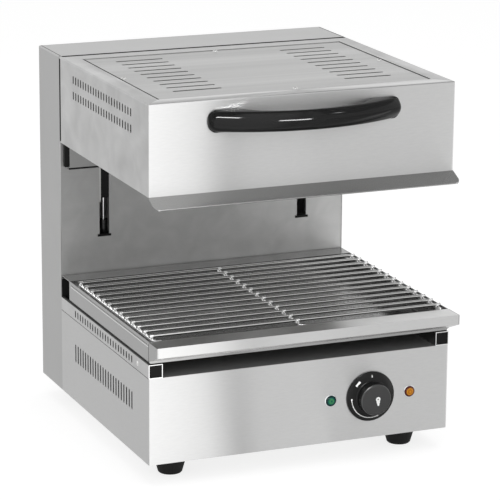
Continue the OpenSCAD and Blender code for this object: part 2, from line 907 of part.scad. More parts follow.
// Cylinder of a gas strut: tube, end plug with stud, and the gland that guides the rod
module strut_cylinder_right() {
    bore_r = strut_r - strut_wall;
    color([0.08, 0.08, 0.08]) difference() {
        union() {
            bar_z(strut_x, y_lift, strut_bottom, strut_top, strut_r);
            bar_z(strut_x, y_lift, strut_bottom - bracket_t - nut_h - 2, strut_bottom, thread_r);
        }
        bar_z(strut_x, y_lift, strut_bottom + strut_plug, strut_top - gland_len, bore_r);
        bar_z(strut_x, y_lift, strut_top - gland_len - 1, strut_top + 1, strut_rod_r + running_gap);
    }
}

module strut_cylinder_left() {
    on_left() strut_cylinder_right();
}

// Nuts of the guide rods and of the struts' lower ends
module column_nuts() {
    color("silver") on_both_sides() {
        for (x = [rod_x, strut_x])
            translate([x, y_lift, lower_bracket_z - nut_h]) nut(nut_r, thread_r, nut_h);
        translate([rod_x, y_lift, upper_bracket_z + bracket_t]) nut(nut_r, thread_r, nut_h);
    }
}

// Lift carriage ------------------------------------------------------------------------

// Rod of a gas strut with its piston inside the cylinder
module strut_rod_right() {
    piston_top = strut_top - gland_len - 2;
    piston_r = strut_r - strut_wall - running_gap;
    color("gainsboro") {
        bar_z(strut_x, y_lift, piston_top - piston_h, piston_top, piston_r);
        bar_z(strut_x, y_lift, piston_top - piston_h, lug_z, strut_rod_r);
        bar_z(strut_x, y_lift, lug_z - 1, lug_z + arm_t + nut_h + 1, top_thread_r);
    }
}

module strut_rod_left() {
    on_left() strut_rod_right();
}

module strut_top_nuts() {
    color("silver") on_both_sides()
        translate([strut_x, y_lift, lug_z + arm_t]) nut(nut_r - 1, top_thread_r, nut_h);
}

// Places of the screws that hold an arm's foot, as [x, z]
function arm_screw_places() = [
    for (k = [0, 1]) [arm_inner - arm_foot_w / 2, arm_z0 + arm_foot_w / 2 + k * (arm_h - arm_foot_w)]
];

// Arm: a foot on the head's rear panel, a tongue through the slot, a tail and the strut lug
module arm_right() {
    y_foot = y_head_in - arm_t;
    y_tail = y_wall_back + arm_gap;
    tail_z = z_head - arm_tail;
    tail_r = 8;
    color("gainsboro") difference() {
        union() {
            extrude_x(arm_inner, arm_outer) {
                translate([y_foot, arm_z0]) square([y_arm_back - y_foot, arm_h]);
                translate([y_tail, tail_z + tail_r]) square([y_arm_back - y_tail, arm_z0 - tail_z]);
                translate([y_tail, tail_z]) square([y_arm_back - y_tail - tail_r, tail_r + 1]);
                translate([y_arm_back - tail_r, tail_z + tail_r]) circle(tail_r);
            }
            block([arm_inner - arm_foot_w, arm_inner], [y_foot, y_head_in], [arm_z0, arm_z1]);
            block([strut_x - lug_half, arm_inner], [y_lift - lug_half, y_lift + lug_half],
                [lug_z, lug_z + arm_t]);
        }
        for (p = arm_screw_places()) bar_y(p[0], p[1], y_foot - 1, y_head_in + 1, screw_r + hole_gap);
        bar_z(strut_x, y_lift, lug_z - 1, lug_z + arm_t + 1, top_thread_r);
    }
}

module arm_left() {
    on_left() arm_right();
}

// Black nylon blocks on the arms that run between the lips of the slots
module arm_glides() {
    y0 = y_wall_back + arm_gap;
    color([0.05, 0.05, 0.05]) on_both_sides()
        block([slot_x - slot_w / 2 + slot_clear, arm_inner], [y0, y0 + slot_lip],
            [z_head - arm_tail + 6, z_head + 5]);
}

// Screws of the arms and of the handle, put in from inside the head
module head_screws() {
    color("silver") on_both_sides() {
        for (p = arm_screw_places()) translate([p[0], y_head_in - arm_t, p[1]]) rotate([90, 0, 0])
            dome_screw(screw_head_r, screw_head_h, screw_r, arm_t + sheet_t);
        translate([handle_half - handle_foot / 2, y_front + sheet_t, handle_z]) rotate([-90, 0, 0])
            dome_screw(handle_screw_r * 2, 2.5, handle_screw_r, 6);
    }
}

// Plate that ties the two arms together behind the rods
module carriage_plate() {
    web = 34;
    rail = 13;
    window_w = 2 * (rod_x - slider_half - web);
    window_h = slider_h - 2 * rail;
    window_r = 10;
    color("gainsboro") difference() {
        block([-arm_inner, arm_inner], [y_carriage, y_arm_back],
            [slider_z - 2, slider_z + slider_h + 2]);
        extrude_y(y_carriage - 1, y_arm_back + 1)
            translate([0, slider_z + slider_h / 2]) round_rect(window_w, window_h, window_r);
    }
}

// Sliders: two blocks, each bored for its two bushes
module sliders() {
    color("silver") on_both_sides() difference() {
        block([rod_x - slider_half, rod_x + slider_half], [y_lift - slider_front, y_carriage],
            [slider_z, slider_z + slider_h]);
        bar_z(rod_x, y_lift, slider_z - 1, slider_z + slider_h + 1, bush_r);
    }
}

// Bronze bushes, two in each slider
module slider_bushes() {
    color("darkgoldenrod") on_both_sides()
        for (z = [slider_z, slider_z + slider_h - bush_len]) difference() {
            bar_z(rod_x, y_lift, z, z + bush_len, bush_r);
            bar_z(rod_x, y_lift, z - 1, z + bush_len + 1, rod_r + running_gap);
        }
}

// Pressed plates below the head that shield the upper ends of the slots
module slot_guards() {
    x0 = slot_x + slot_w / 2 + guard_gap;
    x1 = x0 + guard_w;
    drop = 41.5;
    edge = y_wall - 0.6;
    color("silver") on_both_sides() {
        block([x0, x1], [y_head_in - sheet_t, y_head_in], [z_head - drop, z_head + 30]);
        block([x1 - sheet_t, x1], [y_head_in, edge], [z_head - drop, z_head - 1]);
        block([x0, x1], [y_head_in, edge], [z_head - drop, z_head - drop + sheet_t]);
    }
}

// Black glide pads at the outer edges of the guards
module glide_pads() {
    x0 = slot_x + slot_w / 2 + guard_gap + guard_w;
    pad_w = min(7, inner_w - x0 - 1);
    drop = 36.5;
    color([0.05, 0.05, 0.05]) on_both_sides()
        block([x0, x0 + pad_w], [y_head_in - 4, y_wall - free_gap], [z_head - drop, z_head - 0.5]);
}

// Head ---------------------------------------------------------------------------------

// Outer form of the head, rounded along its folds
module head_envelope() {
    depth = y_head - y_front;
    intersection() {
        translate([0, y_front, z_head]) linear_extrude(head_h) front_plan(cabinet_w, depth, bend_r);
        translate([0, 0, z_head]) extrude_y(y_front, y_head) arch_face(cabinet_w, head_h, bend_r);
        extrude_x(-half_w, half_w) {
            translate([y_front, z_head]) square([depth, head_h - bend_r]);
            translate([y_front + bend_r, z_head]) square([depth - bend_r, head_h]);
            translate([y_front + bend_r, z_top - bend_r]) circle(bend_r);
        }
    }
}

// Whole sheet of the head: four walls, the top rim and the stepped ledge for the top plate
module head_sheet() {
    step = 2 * sheet_t;
    difference() {
        head_envelope();
        block([-inner_w, inner_w], [y_front + sheet_t, y_head_in], [z_head - 1, z_top - step - sheet_t]);
        difference() {
            block([-inner_w, inner_w], [y_front + sheet_t, y_head_in],
                [z_top - step - sheet_t - 1, z_top - sheet_t]);
            block([-rim_x - sheet_t, rim_x + sheet_t], [rim_y0 - sheet_t, rim_y1 + sheet_t],
                [z_head, z_top]);
        }
        block([-rim_x, rim_x], [rim_y0, rim_y1], [z_top - step, z_top + 1]);
        block([-rim_x + plate_ledge, rim_x - plate_ledge],
            [rim_y0 + plate_ledge, rim_y1 - plate_ledge], [z_head, z_top]);
    }
}

// Plan wedges that cut the sheet along its mitred corners
module mitre_wedge(side) {
    reach = 1.9;
    corners = [[-half_w, y_front], [half_w, y_front], [half_w, y_head], [-half_w, y_head]];
    steps = [[rim_side, rim_front], [-rim_side, rim_front], [-rim_side, -rim_rear], [rim_side, -rim_rear]];
    a = side;
    b = (side + 1) % 4;
    extrude_z(z_head - 1, z_top + 1)
        polygon([corners[a], corners[b], corners[b] + reach * steps[b], corners[a] + reach * steps[a]]);
}

module head_panel(side) {
    intersection() {
        head_sheet();
        mitre_wedge(side);
    }
}

module head_vents(s) {
    x = [s > 0 ? inner_w - 1 : -half_w - 1, s > 0 ? half_w + 1 : -inner_w + 1];
    for (k = [0, 1]) vent_row(x[0], x[1], z_top - head_vent_drop - k * head_vent_gap, head_vent_len);
}

module head_front_panel() {
    color("silver") difference() {
        head_panel(0);
        handle_screw_holes(y_front - 1, y_front + sheet_t + 1, handle_screw_r);
        plate_screw_holes();
    }
}

module head_right_panel() {
    color("silver") difference() {
        head_panel(1);
        head_vents(1);
        plate_screw_holes();
    }
}

module head_rear_panel() {
    gap = 0.6;
    color("silver") difference() {
        head_panel(2);
        on_both_sides() block([arm_inner - gap, arm_outer + gap], [y_head_in - 1, y_head + 1],
            [arm_z0 - gap, arm_z1 + gap]);
        on_both_sides() for (p = arm_screw_places())
            bar_y(p[0], p[1], y_head_in - 1, y_head + 1, screw_r + hole_gap);
        plate_screw_holes();
    }
}

module head_left_panel() {
    color("silver") difference() {
        head_panel(3);
        head_vents(-1);
        plate_screw_holes();
    }
}

// Places of the top plate's screws as [x, y]: one in the middle of each edge
function plate_screws() = [
    [0, rim_y0 + plate_screw_in], [0, rim_y1 - plate_screw_in],
    [rim_x - plate_screw_in, (rim_y0 + rim_y1) / 2], [-rim_x + plate_screw_in, (rim_y0 + rim_y1) / 2]
];

module plate_screw_holes() {
    for (p = plate_screws()) bar_z(p[0], p[1], z_top - 4 * sheet_t, z_top + 1, screw_r + hole_gap);
}

// Top plate with two fields of slots, flush in the rim
module top_plate() {
    x = rim_x - plate_gap;
    color("silver") difference() {
        block([-x, x], [rim_y0 + plate_gap, rim_y1 - plate_gap], [z_top - 2 * sheet_t, z_plate]);
        for (s = [-1, 1], i = [0 : plate_slot_count - 1])
            extrude_z(z_top - 3 * sheet_t, z_top + 1)
                translate([s * plate_slot_x, y_front + plate_slot_front + i * plate_slot_pitch])
                    rotate(90) slot_shape(plate_slot_len, plate_slot_w);
        plate_screw_holes();
    }
}

module top_plate_screws() {
    color("silver") for (p = plate_screws())
        translate([p[0], p[1], z_plate])
            dome_screw(screw_head_r, screw_head_h, screw_r, 3 * sheet_t);
}

// Visor: a flange behind the head's front panel and a sloping lip with a rolled hem
module visor() {
    flange_h = 15;
    hem_r = 1.1;
    out = visor_out - hem_r;
    drop = visor_drop - hem_r;
    y_in = y_front + sheet_t + lip_t;
    color([0.45, 0.45, 0.46]) intersection() {
        union() {
            block([-inner_w, inner_w], [y_front + sheet_t, y_in], [z_head - lip_t, z_head + flange_h]);
            extrude_x(-half_w, half_w) {
                polygon([
                    [y_in, z_head], [y_front, z_head], [y_front - out, z_head - drop],
                    [y_front - out, z_head - drop - lip_t], [y_front, z_head - lip_t],
                    [y_in, z_head - lip_t]
                ]);
                translate([y_front - out, z_head - drop - lip_t / 2]) circle(hem_r);
            }
        }
        translate([0, y_front - visor_out, z_head - 2 * visor_drop])
            linear_extrude(2 * visor_drop + 2 * flange_h)
                front_plan(cabinet_w, visor_out + sheet_t + lip_t, visor_corner_r);
    }
}

// How far x lies past the last r of the handle's length, and how far a round end falls away
function past(x, r) = max(0, abs(x) - (handle_half - r));
function round_off(x, r) = r - sqrt(max(0, r * r - pow(past(x, r), 2)));

// Depth of the handle's front at x, and of the finger space behind it
function bow_arc(x) = handle_out - handle_arc_r + sqrt(pow(handle_arc_r, 2) - x * x);
function bow_front(x) = bow_arc(x) - round_off(x, handle_end - 3);
function bow_back(x) =
    let (t = abs(x) / (handle_half - handle_foot))
    t >= 1 ? 0 : (bow_arc(x) - grip_t) * cos(90 * pow(t, 4));

// Points of a corner at b that is rounded between its neighbours a and c
function round_corner(a, b, c, cut) =
    let (k = min(cut, 0.45 * norm(a - b), 0.45 * norm(c - b)),
        p = b + k * (a - b) / norm(a - b), q = b + k * (c - b) / norm(c - b))
    [for (i = [0 : corner_steps]) let (t = i / corner_steps)
        pow(1 - t, 2) * p + 2 * t * (1 - t) * b + t * t * q];

// Section of the handle at x, as points in (y, z): sloping edges and a flat front face
function bow_section(x) =
    let (f = bow_front(x), b = bow_back(x), h = handle_h / 2 - round_off(x, handle_end_r),
        face = h - min(handle_bevel, h / 2), knee = f - min(8, 0.6 * (f - b)),
        back = h + handle_flare * (1 - b / (handle_out - grip_t)),
        corners = [[-b, back], [-knee, h], [-f, face], [-f, -face], [-knee, -h], [-b, -back]],
        cuts = [3, 3, 1.8, 1.8, 3, 3])
    [for (i = [0 : 5])
        each round_corner(corners[(i + 5) % 6], corners[i], corners[(i + 1) % 6], cuts[i])];

// A skin over sections that all have the same number of points
module skin(sections) {
    n = len(sections[0]);
    m = len(sections);
    polyhedron(
        points = [for (s = sections) each s],
        faces = concat(
            [[for (j = [0 : n - 1]) j]],
            [for (i = [0 : m - 2], j = [0 : n - 1])
                [i * n + j, (i + 1) * n + j, (i + 1) * n + (j + 1) % n, i * n + (j + 1) % n]],
            [[for (j = [n - 1 : -1 : 0]) (m - 1) * n + j]]
        )
    );
}

module handle_screw_holes(y0, y1, r) {
    on_both_sides() bar_y(handle_half - handle_foot / 2, handle_z, y0, y1, r);
}

// Bow handle in moulded plastic
module handle() {
    color([0.04, 0.04, 0.04]) difference() {
        translate([0, y_front, handle_z]) skin([
            for (i = [0 : handle_sections])
                let (x = handle_half * sin(-90 + 180 * i / handle_sections))
                [for (p = bow_section(x)) [x, p[0], p[1]]]
        ]);
        handle_screw_holes(y_front - 7, y_front + 1, handle_screw_r);
    }
}

// Reflector: an inverted pan with a flange that closes the head's underside
module reflector() {
    t = reflector_t;
    z0 = z_head;
    z1 = z_head + reflector_h;
    color([0.8, 0.8, 0.78]) difference() {
        union() {
            block([-inner_w, inner_w], [y_front + sheet_t + lip_t, y_head_in - sheet_t], [z0, z0 + t]);
            block([-reflector_x, reflector_x], [reflector_y0, reflector_y1], [z0, z1]);
        }
        block([-reflector_x + t, reflector_x - t], [reflector_y0 + t, reflector_y1 - t], [z0 - 1, z1 - t]);
        element_ends(element_r);
    }
}

module insulation() {
    z0 = z_head + reflector_h;
    color("white") block([-reflector_x, reflector_x], [reflector_y0, reflector_y1],
        [z0, z0 + insulation_t]);
}

// The y of run i of the front (k = 0) or rear (k = 1) heating tube
function run_y(k, i) = element_mid + (k * element_runs + i - (2 * element_runs - 1) / 2) * element_pitch;

// Straight ends of the heating tubes, out through the reflector's left wall
module element_ends(r) {
    for (k = [0, 1], i = [0, element_runs - 1])
        translate([-reflector_x - terminal_len, run_y(k, i), z_head + element_z])
            rotate([0, 90, 0]) cylinder(h = reflector_x + terminal_len - element_half, r = r);
}

// A half turn of tube that joins runs i and i + 1 on the side s
module tube_bend(k, i, s) {
    translate([s * element_half, (run_y(k, i) + run_y(k, i + 1)) / 2, z_head + element_z])
        rotate(s > 0 ? -90 : 90) rotate_extrude(angle = 180)
            translate([element_pitch / 2, 0]) circle(element_r);
}

// Two serpentine heating tubes
module heating_elements() {
    color([0.35, 0.33, 0.32]) for (k = [0, 1]) {
        for (i = [0 : element_runs - 1])
            translate([-element_half, run_y(k, i), z_head + element_z])
                rotate([0, 90, 0]) cylinder(h = 2 * element_half, r = element_r);
        for (i = [0 : element_runs - 2]) tube_bend(k, i, i % 2 == 0 ? 1 : -1);
        intersection() {
            element_ends(element_r);
            block([-half_w, 0], [run_y(k, 0) - 10, run_y(k, element_runs - 1) + 10], [z_head, z_top]);
        }
    }
}

// Bars that hang the tubes from the reflector
module element_holders() {
    z0 = z_head + element_z - element_r - 2;
    z1 = z_head + reflector_h - reflector_t;
    y0 = run_y(0, 0) - 10;
    y1 = run_y(1, element_runs - 1) + 10;
    color("gainsboro") on_both_sides() difference() {
        union() {
            block([holder_x - holder_w / 2, holder_x + holder_w / 2], [y0, y1],
                [z0, z_head + element_z + element_r + 4]);
            for (y = [y0 + 28, y1 - 28])
                bar_z(holder_x, y, z_head + element_z + element_r + 4, z1, 3);
        }
        for (k = [0, 1], i = [0 : element_runs - 1])
            translate([holder_x - holder_w, run_y(k, i), z_head + element_z])
                rotate([0, 90, 0]) cylinder(h = 2 * holder_w, r = element_r);
    }
}

// Drip tray and rack -------------------------------------------------------------------

// Section of the tray's tub across X: a rounded bottom and straight sides
module tub_section(half, r, z0, z1) {
    translate([-half, z0 + r]) square([2 * half, z1 - z0 - r]);
    translate([-half + r, z0]) square([2 * (half - r), z1 - z0]);
    for (s = [-1, 1]) translate([s * (half - r), z0 + r]) circle(r);
}

// Outline of the tray's nose in (y, z): top flange, front face and sloping underside
module nose_section(inset) {
    y0 = y_front - nose_out + inset;
    z1 = z_rim - inset;
    z_face = z_rim - nose_face_h;
    z_low = z_tray + tray_edge_r + inset;
    polygon([[y0, z_face + inset], [y0, z1], [tray_front, z1], [tray_front, z_low]]);
}

// Drip tray: a tub with a ledge for the rack, a rear flange and a hollow nose
module drip_tray() {
    t = tray_t;
    r = tray_edge_r;
    groove = 0.4;
    ledge_y = [tray_front + 8, tray_rear - 8];
    color([0.75, 0.75, 0.76]) difference() {
        union() {
            difference() {
                extrude_y(tray_front, tray_rear) tub_section(tray_half, r, z_tray, z_rim);
                extrude_y(tray_front + t, tray_rear - t)
                    tub_section(tray_half - t, r - t, z_tray + t, z_rim + 1);
            }
            on_both_sides() block([tray_half - t - ledge_w, tray_half - t / 2], ledge_y,
                [ledge_z - t, ledge_z]);
            block([-tray_half, tray_half], [tray_rear - t, y_seam - 1], [z_rim - t, z_rim]);
            block([-tray_half, tray_half], [y_seam - 1 - t, y_seam - 1], [z_rim - 4, z_rim]);
            difference() {
                extrude_x(-nose_half, nose_half) nose_section(0);
                extrude_x(-tray_half + t, tray_half - t) nose_section(t);
                block([-tray_half + t, tray_half - t], [tray_front - 2, tray_front],
                    [z_tray, z_tray + r + 4]);
            }
        }
        on_both_sides() block([tray_half - groove, tray_half + 1], ledge_y, [ledge_z - t, ledge_z]);
    }
}

// Support wire under the cross wires, its front end bent to the right
module support_wire(x) {
    y_bend = rack_y - wire_pitch / 2 + support_bend;
    r = support_d / 2;
    y_end = rack_y + (wire_count - 1) * wire_pitch + 3;
    bar_y(x, rack_z, y_bend, y_end, r);
    translate([x + support_bend, y_bend, rack_z]) rotate(180) rotate_extrude(angle = 90)
        translate([support_bend, 0]) circle(r);
    translate([x + support_bend, y_bend - support_bend, rack_z]) rotate([0, 90, 0])
        cylinder(h = 3, r = r);
}

// Loose wire rack: cross wires welded on three support wires
module wire_rack() {
    color("silver") {
        for (x = [-support_x, 0]) support_wire(x);
        on_left() support_wire(-support_x);
        for (i = [0 : wire_count - 1])
            translate([-rack_half, rack_y + i * wire_pitch, wire_z]) rotate([0, 90, 0])
                cylinder(h = 2 * rack_half, r = wire_d / 2);
    }
}

base_wrap();
base_floor();
base_deck();
rail_left();
rail_right();
rail_plugs();
rail_glides();
rail_rivets();
foot_front_left();
foot_front_right();
foot_rear_left();
foot_rear_right();
foot_screws();
lamp_bezels();
power_lamp();
heat_lamp();
energy_regulator();
regulator_nut();
regulator_shaft();
knob();
terminal_block();
cable_gland();
bonding_stud();
column_shell();
wall_panel();
slot_stops();
rear_cover();
rear_cover_screws();
cross_brackets();
guide_rod_left();
guide_rod_right();
strut_cylinder_left();
strut_cylinder_right();
column_nuts();
strut_rod_left();
strut_rod_right();
strut_top_nuts();
arm_left();
arm_right();
arm_glides();
carriage_plate();
sliders();
slider_bushes();
slot_guards();
glide_pads();
head_front_panel();
head_left_panel();
head_right_panel();
head_rear_panel();
top_plate();
top_plate_screws();
visor();
handle();
head_screws();
reflector();
insulation();
heating_elements();
element_holders();
drip_tray();
wire_rack();
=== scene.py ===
# %% [markdown]
# # Dressing a cheese melter for the studio
#
# A cheese melter is a small grill whose heated head slides up and down a column, over a
# rack and a drip tray. The metal frame comes ready made: every sheet, rail, wire and screw
# is already in its place, in metres, with +Z up and the front facing -Y.
# This lesson gives each of those parts its finish, with some light and shade painted into
# the colours, and models by hand the few things whose looks need finer shapes: the moulded
# handle, the control knob with its printed marks, the screws, the welds of the rack and the
# thin strips of painted shade in the joints.

# %% Load the metal frame
import math

import bpy
from mathutils import Matrix, Vector


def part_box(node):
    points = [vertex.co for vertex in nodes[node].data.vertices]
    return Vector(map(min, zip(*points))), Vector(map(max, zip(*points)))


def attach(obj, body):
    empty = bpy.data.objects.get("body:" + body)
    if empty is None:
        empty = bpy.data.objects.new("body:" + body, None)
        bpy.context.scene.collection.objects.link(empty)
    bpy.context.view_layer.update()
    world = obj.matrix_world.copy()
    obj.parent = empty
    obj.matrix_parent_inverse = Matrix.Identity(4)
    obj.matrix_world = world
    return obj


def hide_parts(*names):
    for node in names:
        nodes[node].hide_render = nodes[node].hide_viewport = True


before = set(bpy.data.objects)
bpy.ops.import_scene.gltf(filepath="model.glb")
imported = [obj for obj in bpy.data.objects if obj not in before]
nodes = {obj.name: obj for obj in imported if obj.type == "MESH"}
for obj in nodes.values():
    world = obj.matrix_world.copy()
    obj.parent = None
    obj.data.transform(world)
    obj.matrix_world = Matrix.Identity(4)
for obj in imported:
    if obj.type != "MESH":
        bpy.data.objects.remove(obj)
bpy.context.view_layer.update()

mm = 0.001

# %% [markdown]
# ## The camera
#
# The grill is seen from a little to its left and a little above, with a long lens, so its
# upright edges stay almost parallel. A camera looks along its own -Z, so its matrix is
# built from three directions: right, up and backwards.

# %% Camera
yaw, pitch, roll = 0.3965, 0.2586, -0.0073
forward = Vector((math.sin(yaw) * math.cos(pitch), math.cos(yaw) * math.cos(pitch),
                  -math.sin(pitch)))
level_right = Vector((math.cos(yaw), -math.sin(yaw), 0.0))
level_down = forward.cross(level_right)
right = math.cos(roll) * level_right + math.sin(roll) * level_down
down = -math.sin(roll) * level_right + math.cos(roll) * level_down
eye = Vector((-1.436, -3.4552, 1.2494))

camera_data = bpy.data.cameras.new("studio_camera")
camera_data.sensor_width = 36
camera_data.lens = 193.85
camera_data.clip_end = 50
camera = bpy.data.objects.new("studio_camera", camera_data)
bpy.context.scene.collection.objects.link(camera)
camera.matrix_world = Matrix((
    (right.x, -down.x, -forward.x, eye.x),
    (right.y, -down.y, -forward.y, eye.y),
    (right.z, -down.z, -forward.z, eye.z),
    (0, 0, 0, 1),
))
bpy.context.scene.camera = camera
bpy.context.scene.view_settings.view_transform = "Standard"
print("camera", tuple(round(c, 3) for c in eye), "lens", camera_data.lens)

# %% [markdown]
# ## Small helpers
#
# Modelling by hand means: select, then use a tool. These helpers do the selecting. A
# point or face is chosen by where it is, the way one would click on it. `settle` puts a
# finished piece's place into its mesh, so the object itself rests at the origin.

# %% Helpers for modelling
close = 0.000001  # places this near each other, in metres, count as one


def clear_selection():
    """Leaves edit mode and deselects everything."""
    if bpy.context.object and bpy.context.object.mode != "OBJECT":
        bpy.ops.object.mode_set(mode="OBJECT")
    bpy.ops.object.select_all(action="DESELECT")


def select_only(piece):
    """Selects one piece, makes it the active one and leaves all others alone."""
    clear_selection()
    bpy.context.view_layer.objects.active = piece
    piece.select_set(True)


def edit(piece, mode="VERT", action="DESELECT"):
    """Opens a piece in edit mode with nothing selected, or with all of it."""
    select_only(piece)
    bpy.ops.object.mode_set(mode="EDIT")
    bpy.ops.mesh.select_mode(type=mode)
    bpy.ops.mesh.select_all(action=action)


def pick(piece, where, what="vertices"):
    """Selects the vertices or faces of a piece for which where(place) is true."""
    bpy.ops.object.mode_set(mode="OBJECT")
    items = piece.data.vertices if what == "vertices" else piece.data.polygons
    for group in (piece.data.vertices, piece.data.edges, piece.data.polygons):
        for item in group:
            item.select = False
    for item in items:
        item.select = bool(where(item.co if what == "vertices" else item))
    bpy.ops.object.mode_set(mode="EDIT")


def settle(piece, name, angle=None):
    """Applies a piece's place, turn and scale, merges doubles, points its faces outwards
    and shades it."""
    select_only(piece)
    bpy.ops.object.transform_apply()
    edit(piece, "VERT", "SELECT")
    bpy.ops.mesh.remove_doubles(threshold=close)
    bpy.ops.mesh.normals_make_consistent(inside=False)
    bpy.ops.object.mode_set(mode="OBJECT")
    if angle:
        bpy.ops.object.shade_smooth_by_angle(angle=math.radians(angle))
    piece.name = piece.data.name = name
    print(name, "has", len(piece.data.polygons), "faces")
    return piece


# %% [markdown]
# ## The studio
#
# The grill stands on a plain white floor in a white room. A big soft lamp hangs above it
# and a key lamp stands to the front left. The floor and the room are white to the camera
# and pale in reflections, and dimmer as light, so colours stay plain.
#
# A material is a tree of nodes that feed each other. `add` puts a node in and feeds its
# inputs, each with a plain value or with what another node puts out. `number` is a node
# that does a sum.

# %% Helpers for materials
def new_material(name):
    """An empty node material; returns it with its tree."""
    material = bpy.data.materials.new(name)
    material.use_nodes = True
    material.node_tree.nodes.clear()
    return material, material.node_tree


def feed(socket, value):
    """Sets an input to a plain value, or links it to an output or a node's first output."""
    if isinstance(value, bpy.types.Node):
        value = value.outputs[0]
    if isinstance(value, bpy.types.NodeSocket):
        socket.id_data.links.new(value, socket)
    else:
        socket.default_value = value


def add(tree, kind, *inputs, **values):
    """Adds a node. The unnamed values feed its inputs in order. A named one feeds the input
    of that name, or sets the property of that name."""
    node = tree.nodes.new(kind)
    for socket, value in zip(node.inputs, inputs):
        feed(socket, value)
    for name, value in values.items():
        if hasattr(node, name) and name not in node.inputs:
            setattr(node, name, value)
        else:
            feed(node.inputs[name.replace("_", " ")], value)
    return node


def number(tree, operation, *values):
    """What a maths node puts out; each value is a number or an output."""
    return add(tree, "ShaderNodeMath", *values, operation=operation).outputs[0]


# %% Floor and room
clear_selection()
bpy.ops.mesh.primitive_plane_add(size=14, location=(0, 0, 0))
floor = bpy.context.object
floor.name = "studio_floor"


def seen_directly(tree):
    """1 for rays from the camera, from glossy and from clear surfaces, and 0 for light."""
    ray = add(tree, "ShaderNodeLightPath").outputs
    seen = number(tree, "MAXIMUM", ray["Is Camera Ray"], ray["Is Glossy Ray"])
    return number(tree, "MAXIMUM", seen, ray["Is Transmission Ray"])


paper, tree = new_material("studio_paper")
matt = add(tree, "ShaderNodeBsdfDiffuse", Color=(0.82, 0.82, 0.82, 1))
dim = add(tree, "ShaderNodeBsdfDiffuse", Color=(0.36, 0.36, 0.36, 1))
ray = add(tree, "ShaderNodeLightPath").outputs
lift = number(tree, "MULTIPLY_ADD", ray["Is Camera Ray"], 0.27, 0.52)
glow = add(tree, "ShaderNodeEmission", Color=(1, 1, 1, 1), Strength=lift)
lifted = add(tree, "ShaderNodeAddShader", dim, glow)
shown = add(tree, "ShaderNodeMixShader", seen_directly(tree), matt, lifted)
add(tree, "ShaderNodeOutputMaterial", Surface=shown)
floor.data.materials.append(paper)

room = bpy.data.worlds.new("studio_room")
bpy.context.scene.world = room
room.use_nodes = True
tree = room.node_tree
tree.nodes.clear()
light = add(tree, "ShaderNodeBackground", Color=(1, 1, 1, 1), Strength=0.5)
white = add(tree, "ShaderNodeBackground", Color=(1, 1, 1, 1), Strength=1.0)
shown = add(tree, "ShaderNodeMixShader", seen_directly(tree), light, white)
add(tree, "ShaderNodeOutputWorld", Surface=shown)
print("floor and room are ready")

# %% Lamps
def soft_lamp(name, place, aim, width, height, radiance):
    """A rectangular lamp that faces a point; radiance is how bright its face looks. It
    lights the grill, but its own shape doesn't show in the steel."""
    data = bpy.data.lights.new(name, "AREA")
    data.shape = "RECTANGLE"
    data.size, data.size_y = width, height
    data.energy = radiance * math.pi * width * height
    lamp = bpy.data.objects.new(name, data)
    bpy.context.scene.collection.objects.link(lamp)
    place, aim = Vector(place), Vector(aim)
    lamp.location = place
    lamp.rotation_euler = (aim - place).to_track_quat("-Z", "Y").to_euler()
    lamp.visible_glossy = lamp.visible_camera = False
    print(name, "at", tuple(round(c, 2) for c in place))
    return lamp


soft_lamp("overhead", (0.2, -0.3, 3.0), (0, 0, 0.3), 2.6, 2.6, 1.3)
soft_lamp("key", (-2.2, -2.6, 2.2), (0, 0, 0.3), 1.8, 1.8, 1.6)

# %% [markdown]
# ## Cards for the reflections
#
# Brushed steel shows what stands before it, smeared across the brush. So a studio puts plain
# cards round such a thing: white ones light up the left of the front panels and fall off
# to grey on their right, and grey ones keep the sides and the top quieter. The front
# cards stand close to the panels, so that their fall stays sharp in the brushed steel.
# Cards are only seen in reflections, and they throw no light or shadow. Each is a plane
# whose four corners are set one by one.

# %% Cards
def plane_between(corners):
    """A plane with its four corners in order round it."""
    clear_selection()
    bpy.ops.mesh.primitive_plane_add(size=1)
    plane = bpy.context.object
    for index, corner in zip((0, 1, 3, 2), corners):
        plane.data.vertices[index].co = corner
    return plane


def card(name, corners, radiance, tones=((0.0, 1.0), (1.0, 1.0))):
    """A plain card with its corners in order round it. radiance is how bright it is at
    most, and tones are (place across it, share of that brightness) from left to right."""
    plane = plane_between(corners)
    plane.name = name
    material, tree = new_material(name + "_paper")
    across = add(tree, "ShaderNodeTexCoord").outputs["UV"]
    ramp = add(tree, "ShaderNodeValToRGB", add(tree, "ShaderNodeSeparateXYZ", across))
    stops = ramp.color_ramp.elements
    stops[0].position, stops[-1].position = tones[0][0], tones[-1][0]
    for place, _ in tones[1:-1]:
        stops.new(place)
    for stop, (_, share) in zip(stops, tones):
        stop.color = (share, share, share, 1)
    shine = add(tree, "ShaderNodeEmission", Color=ramp, Strength=radiance)
    add(tree, "ShaderNodeOutputMaterial", Surface=shine)
    plane.data.materials.append(material)
    plane.visible_camera = plane.visible_diffuse = plane.visible_shadow = False
    print(name, "of brightness", radiance)


# %% [markdown]
# Where a card belongs follows from the way a mirror works. To the camera, a front panel
# mirrors a place that lies to the right by a fixed share of its distance, and by a little
# more for panels further right. `ahead` gives that place, and `leaning` gives it for light
# that comes down to the panel from higher up.

# %% Set the cards up
front_face, sideways, spread = -0.2135, 0.4045, 0.065
card_near, card_far = 0.02, 0.3  # how far before the front panels, in metres
far_aside = 0.12  # how far to the right of a panel its place on the far cards lies
card_foot, eye_level = 0.004, 0.45


def ahead(panel_x, distance):
    """The place on the floor that a front panel at x shows, at a distance before it."""
    return (panel_x + (sideways + spread * panel_x) * distance, front_face - distance,
            card_foot)


def leaning(panel_x, height):
    """The place of the far cards for a panel at x, for light that comes from higher up."""
    climb = (height - eye_level) / card_far
    return (panel_x + far_aside * math.sqrt(1 + climb**2), front_face - card_far, height)


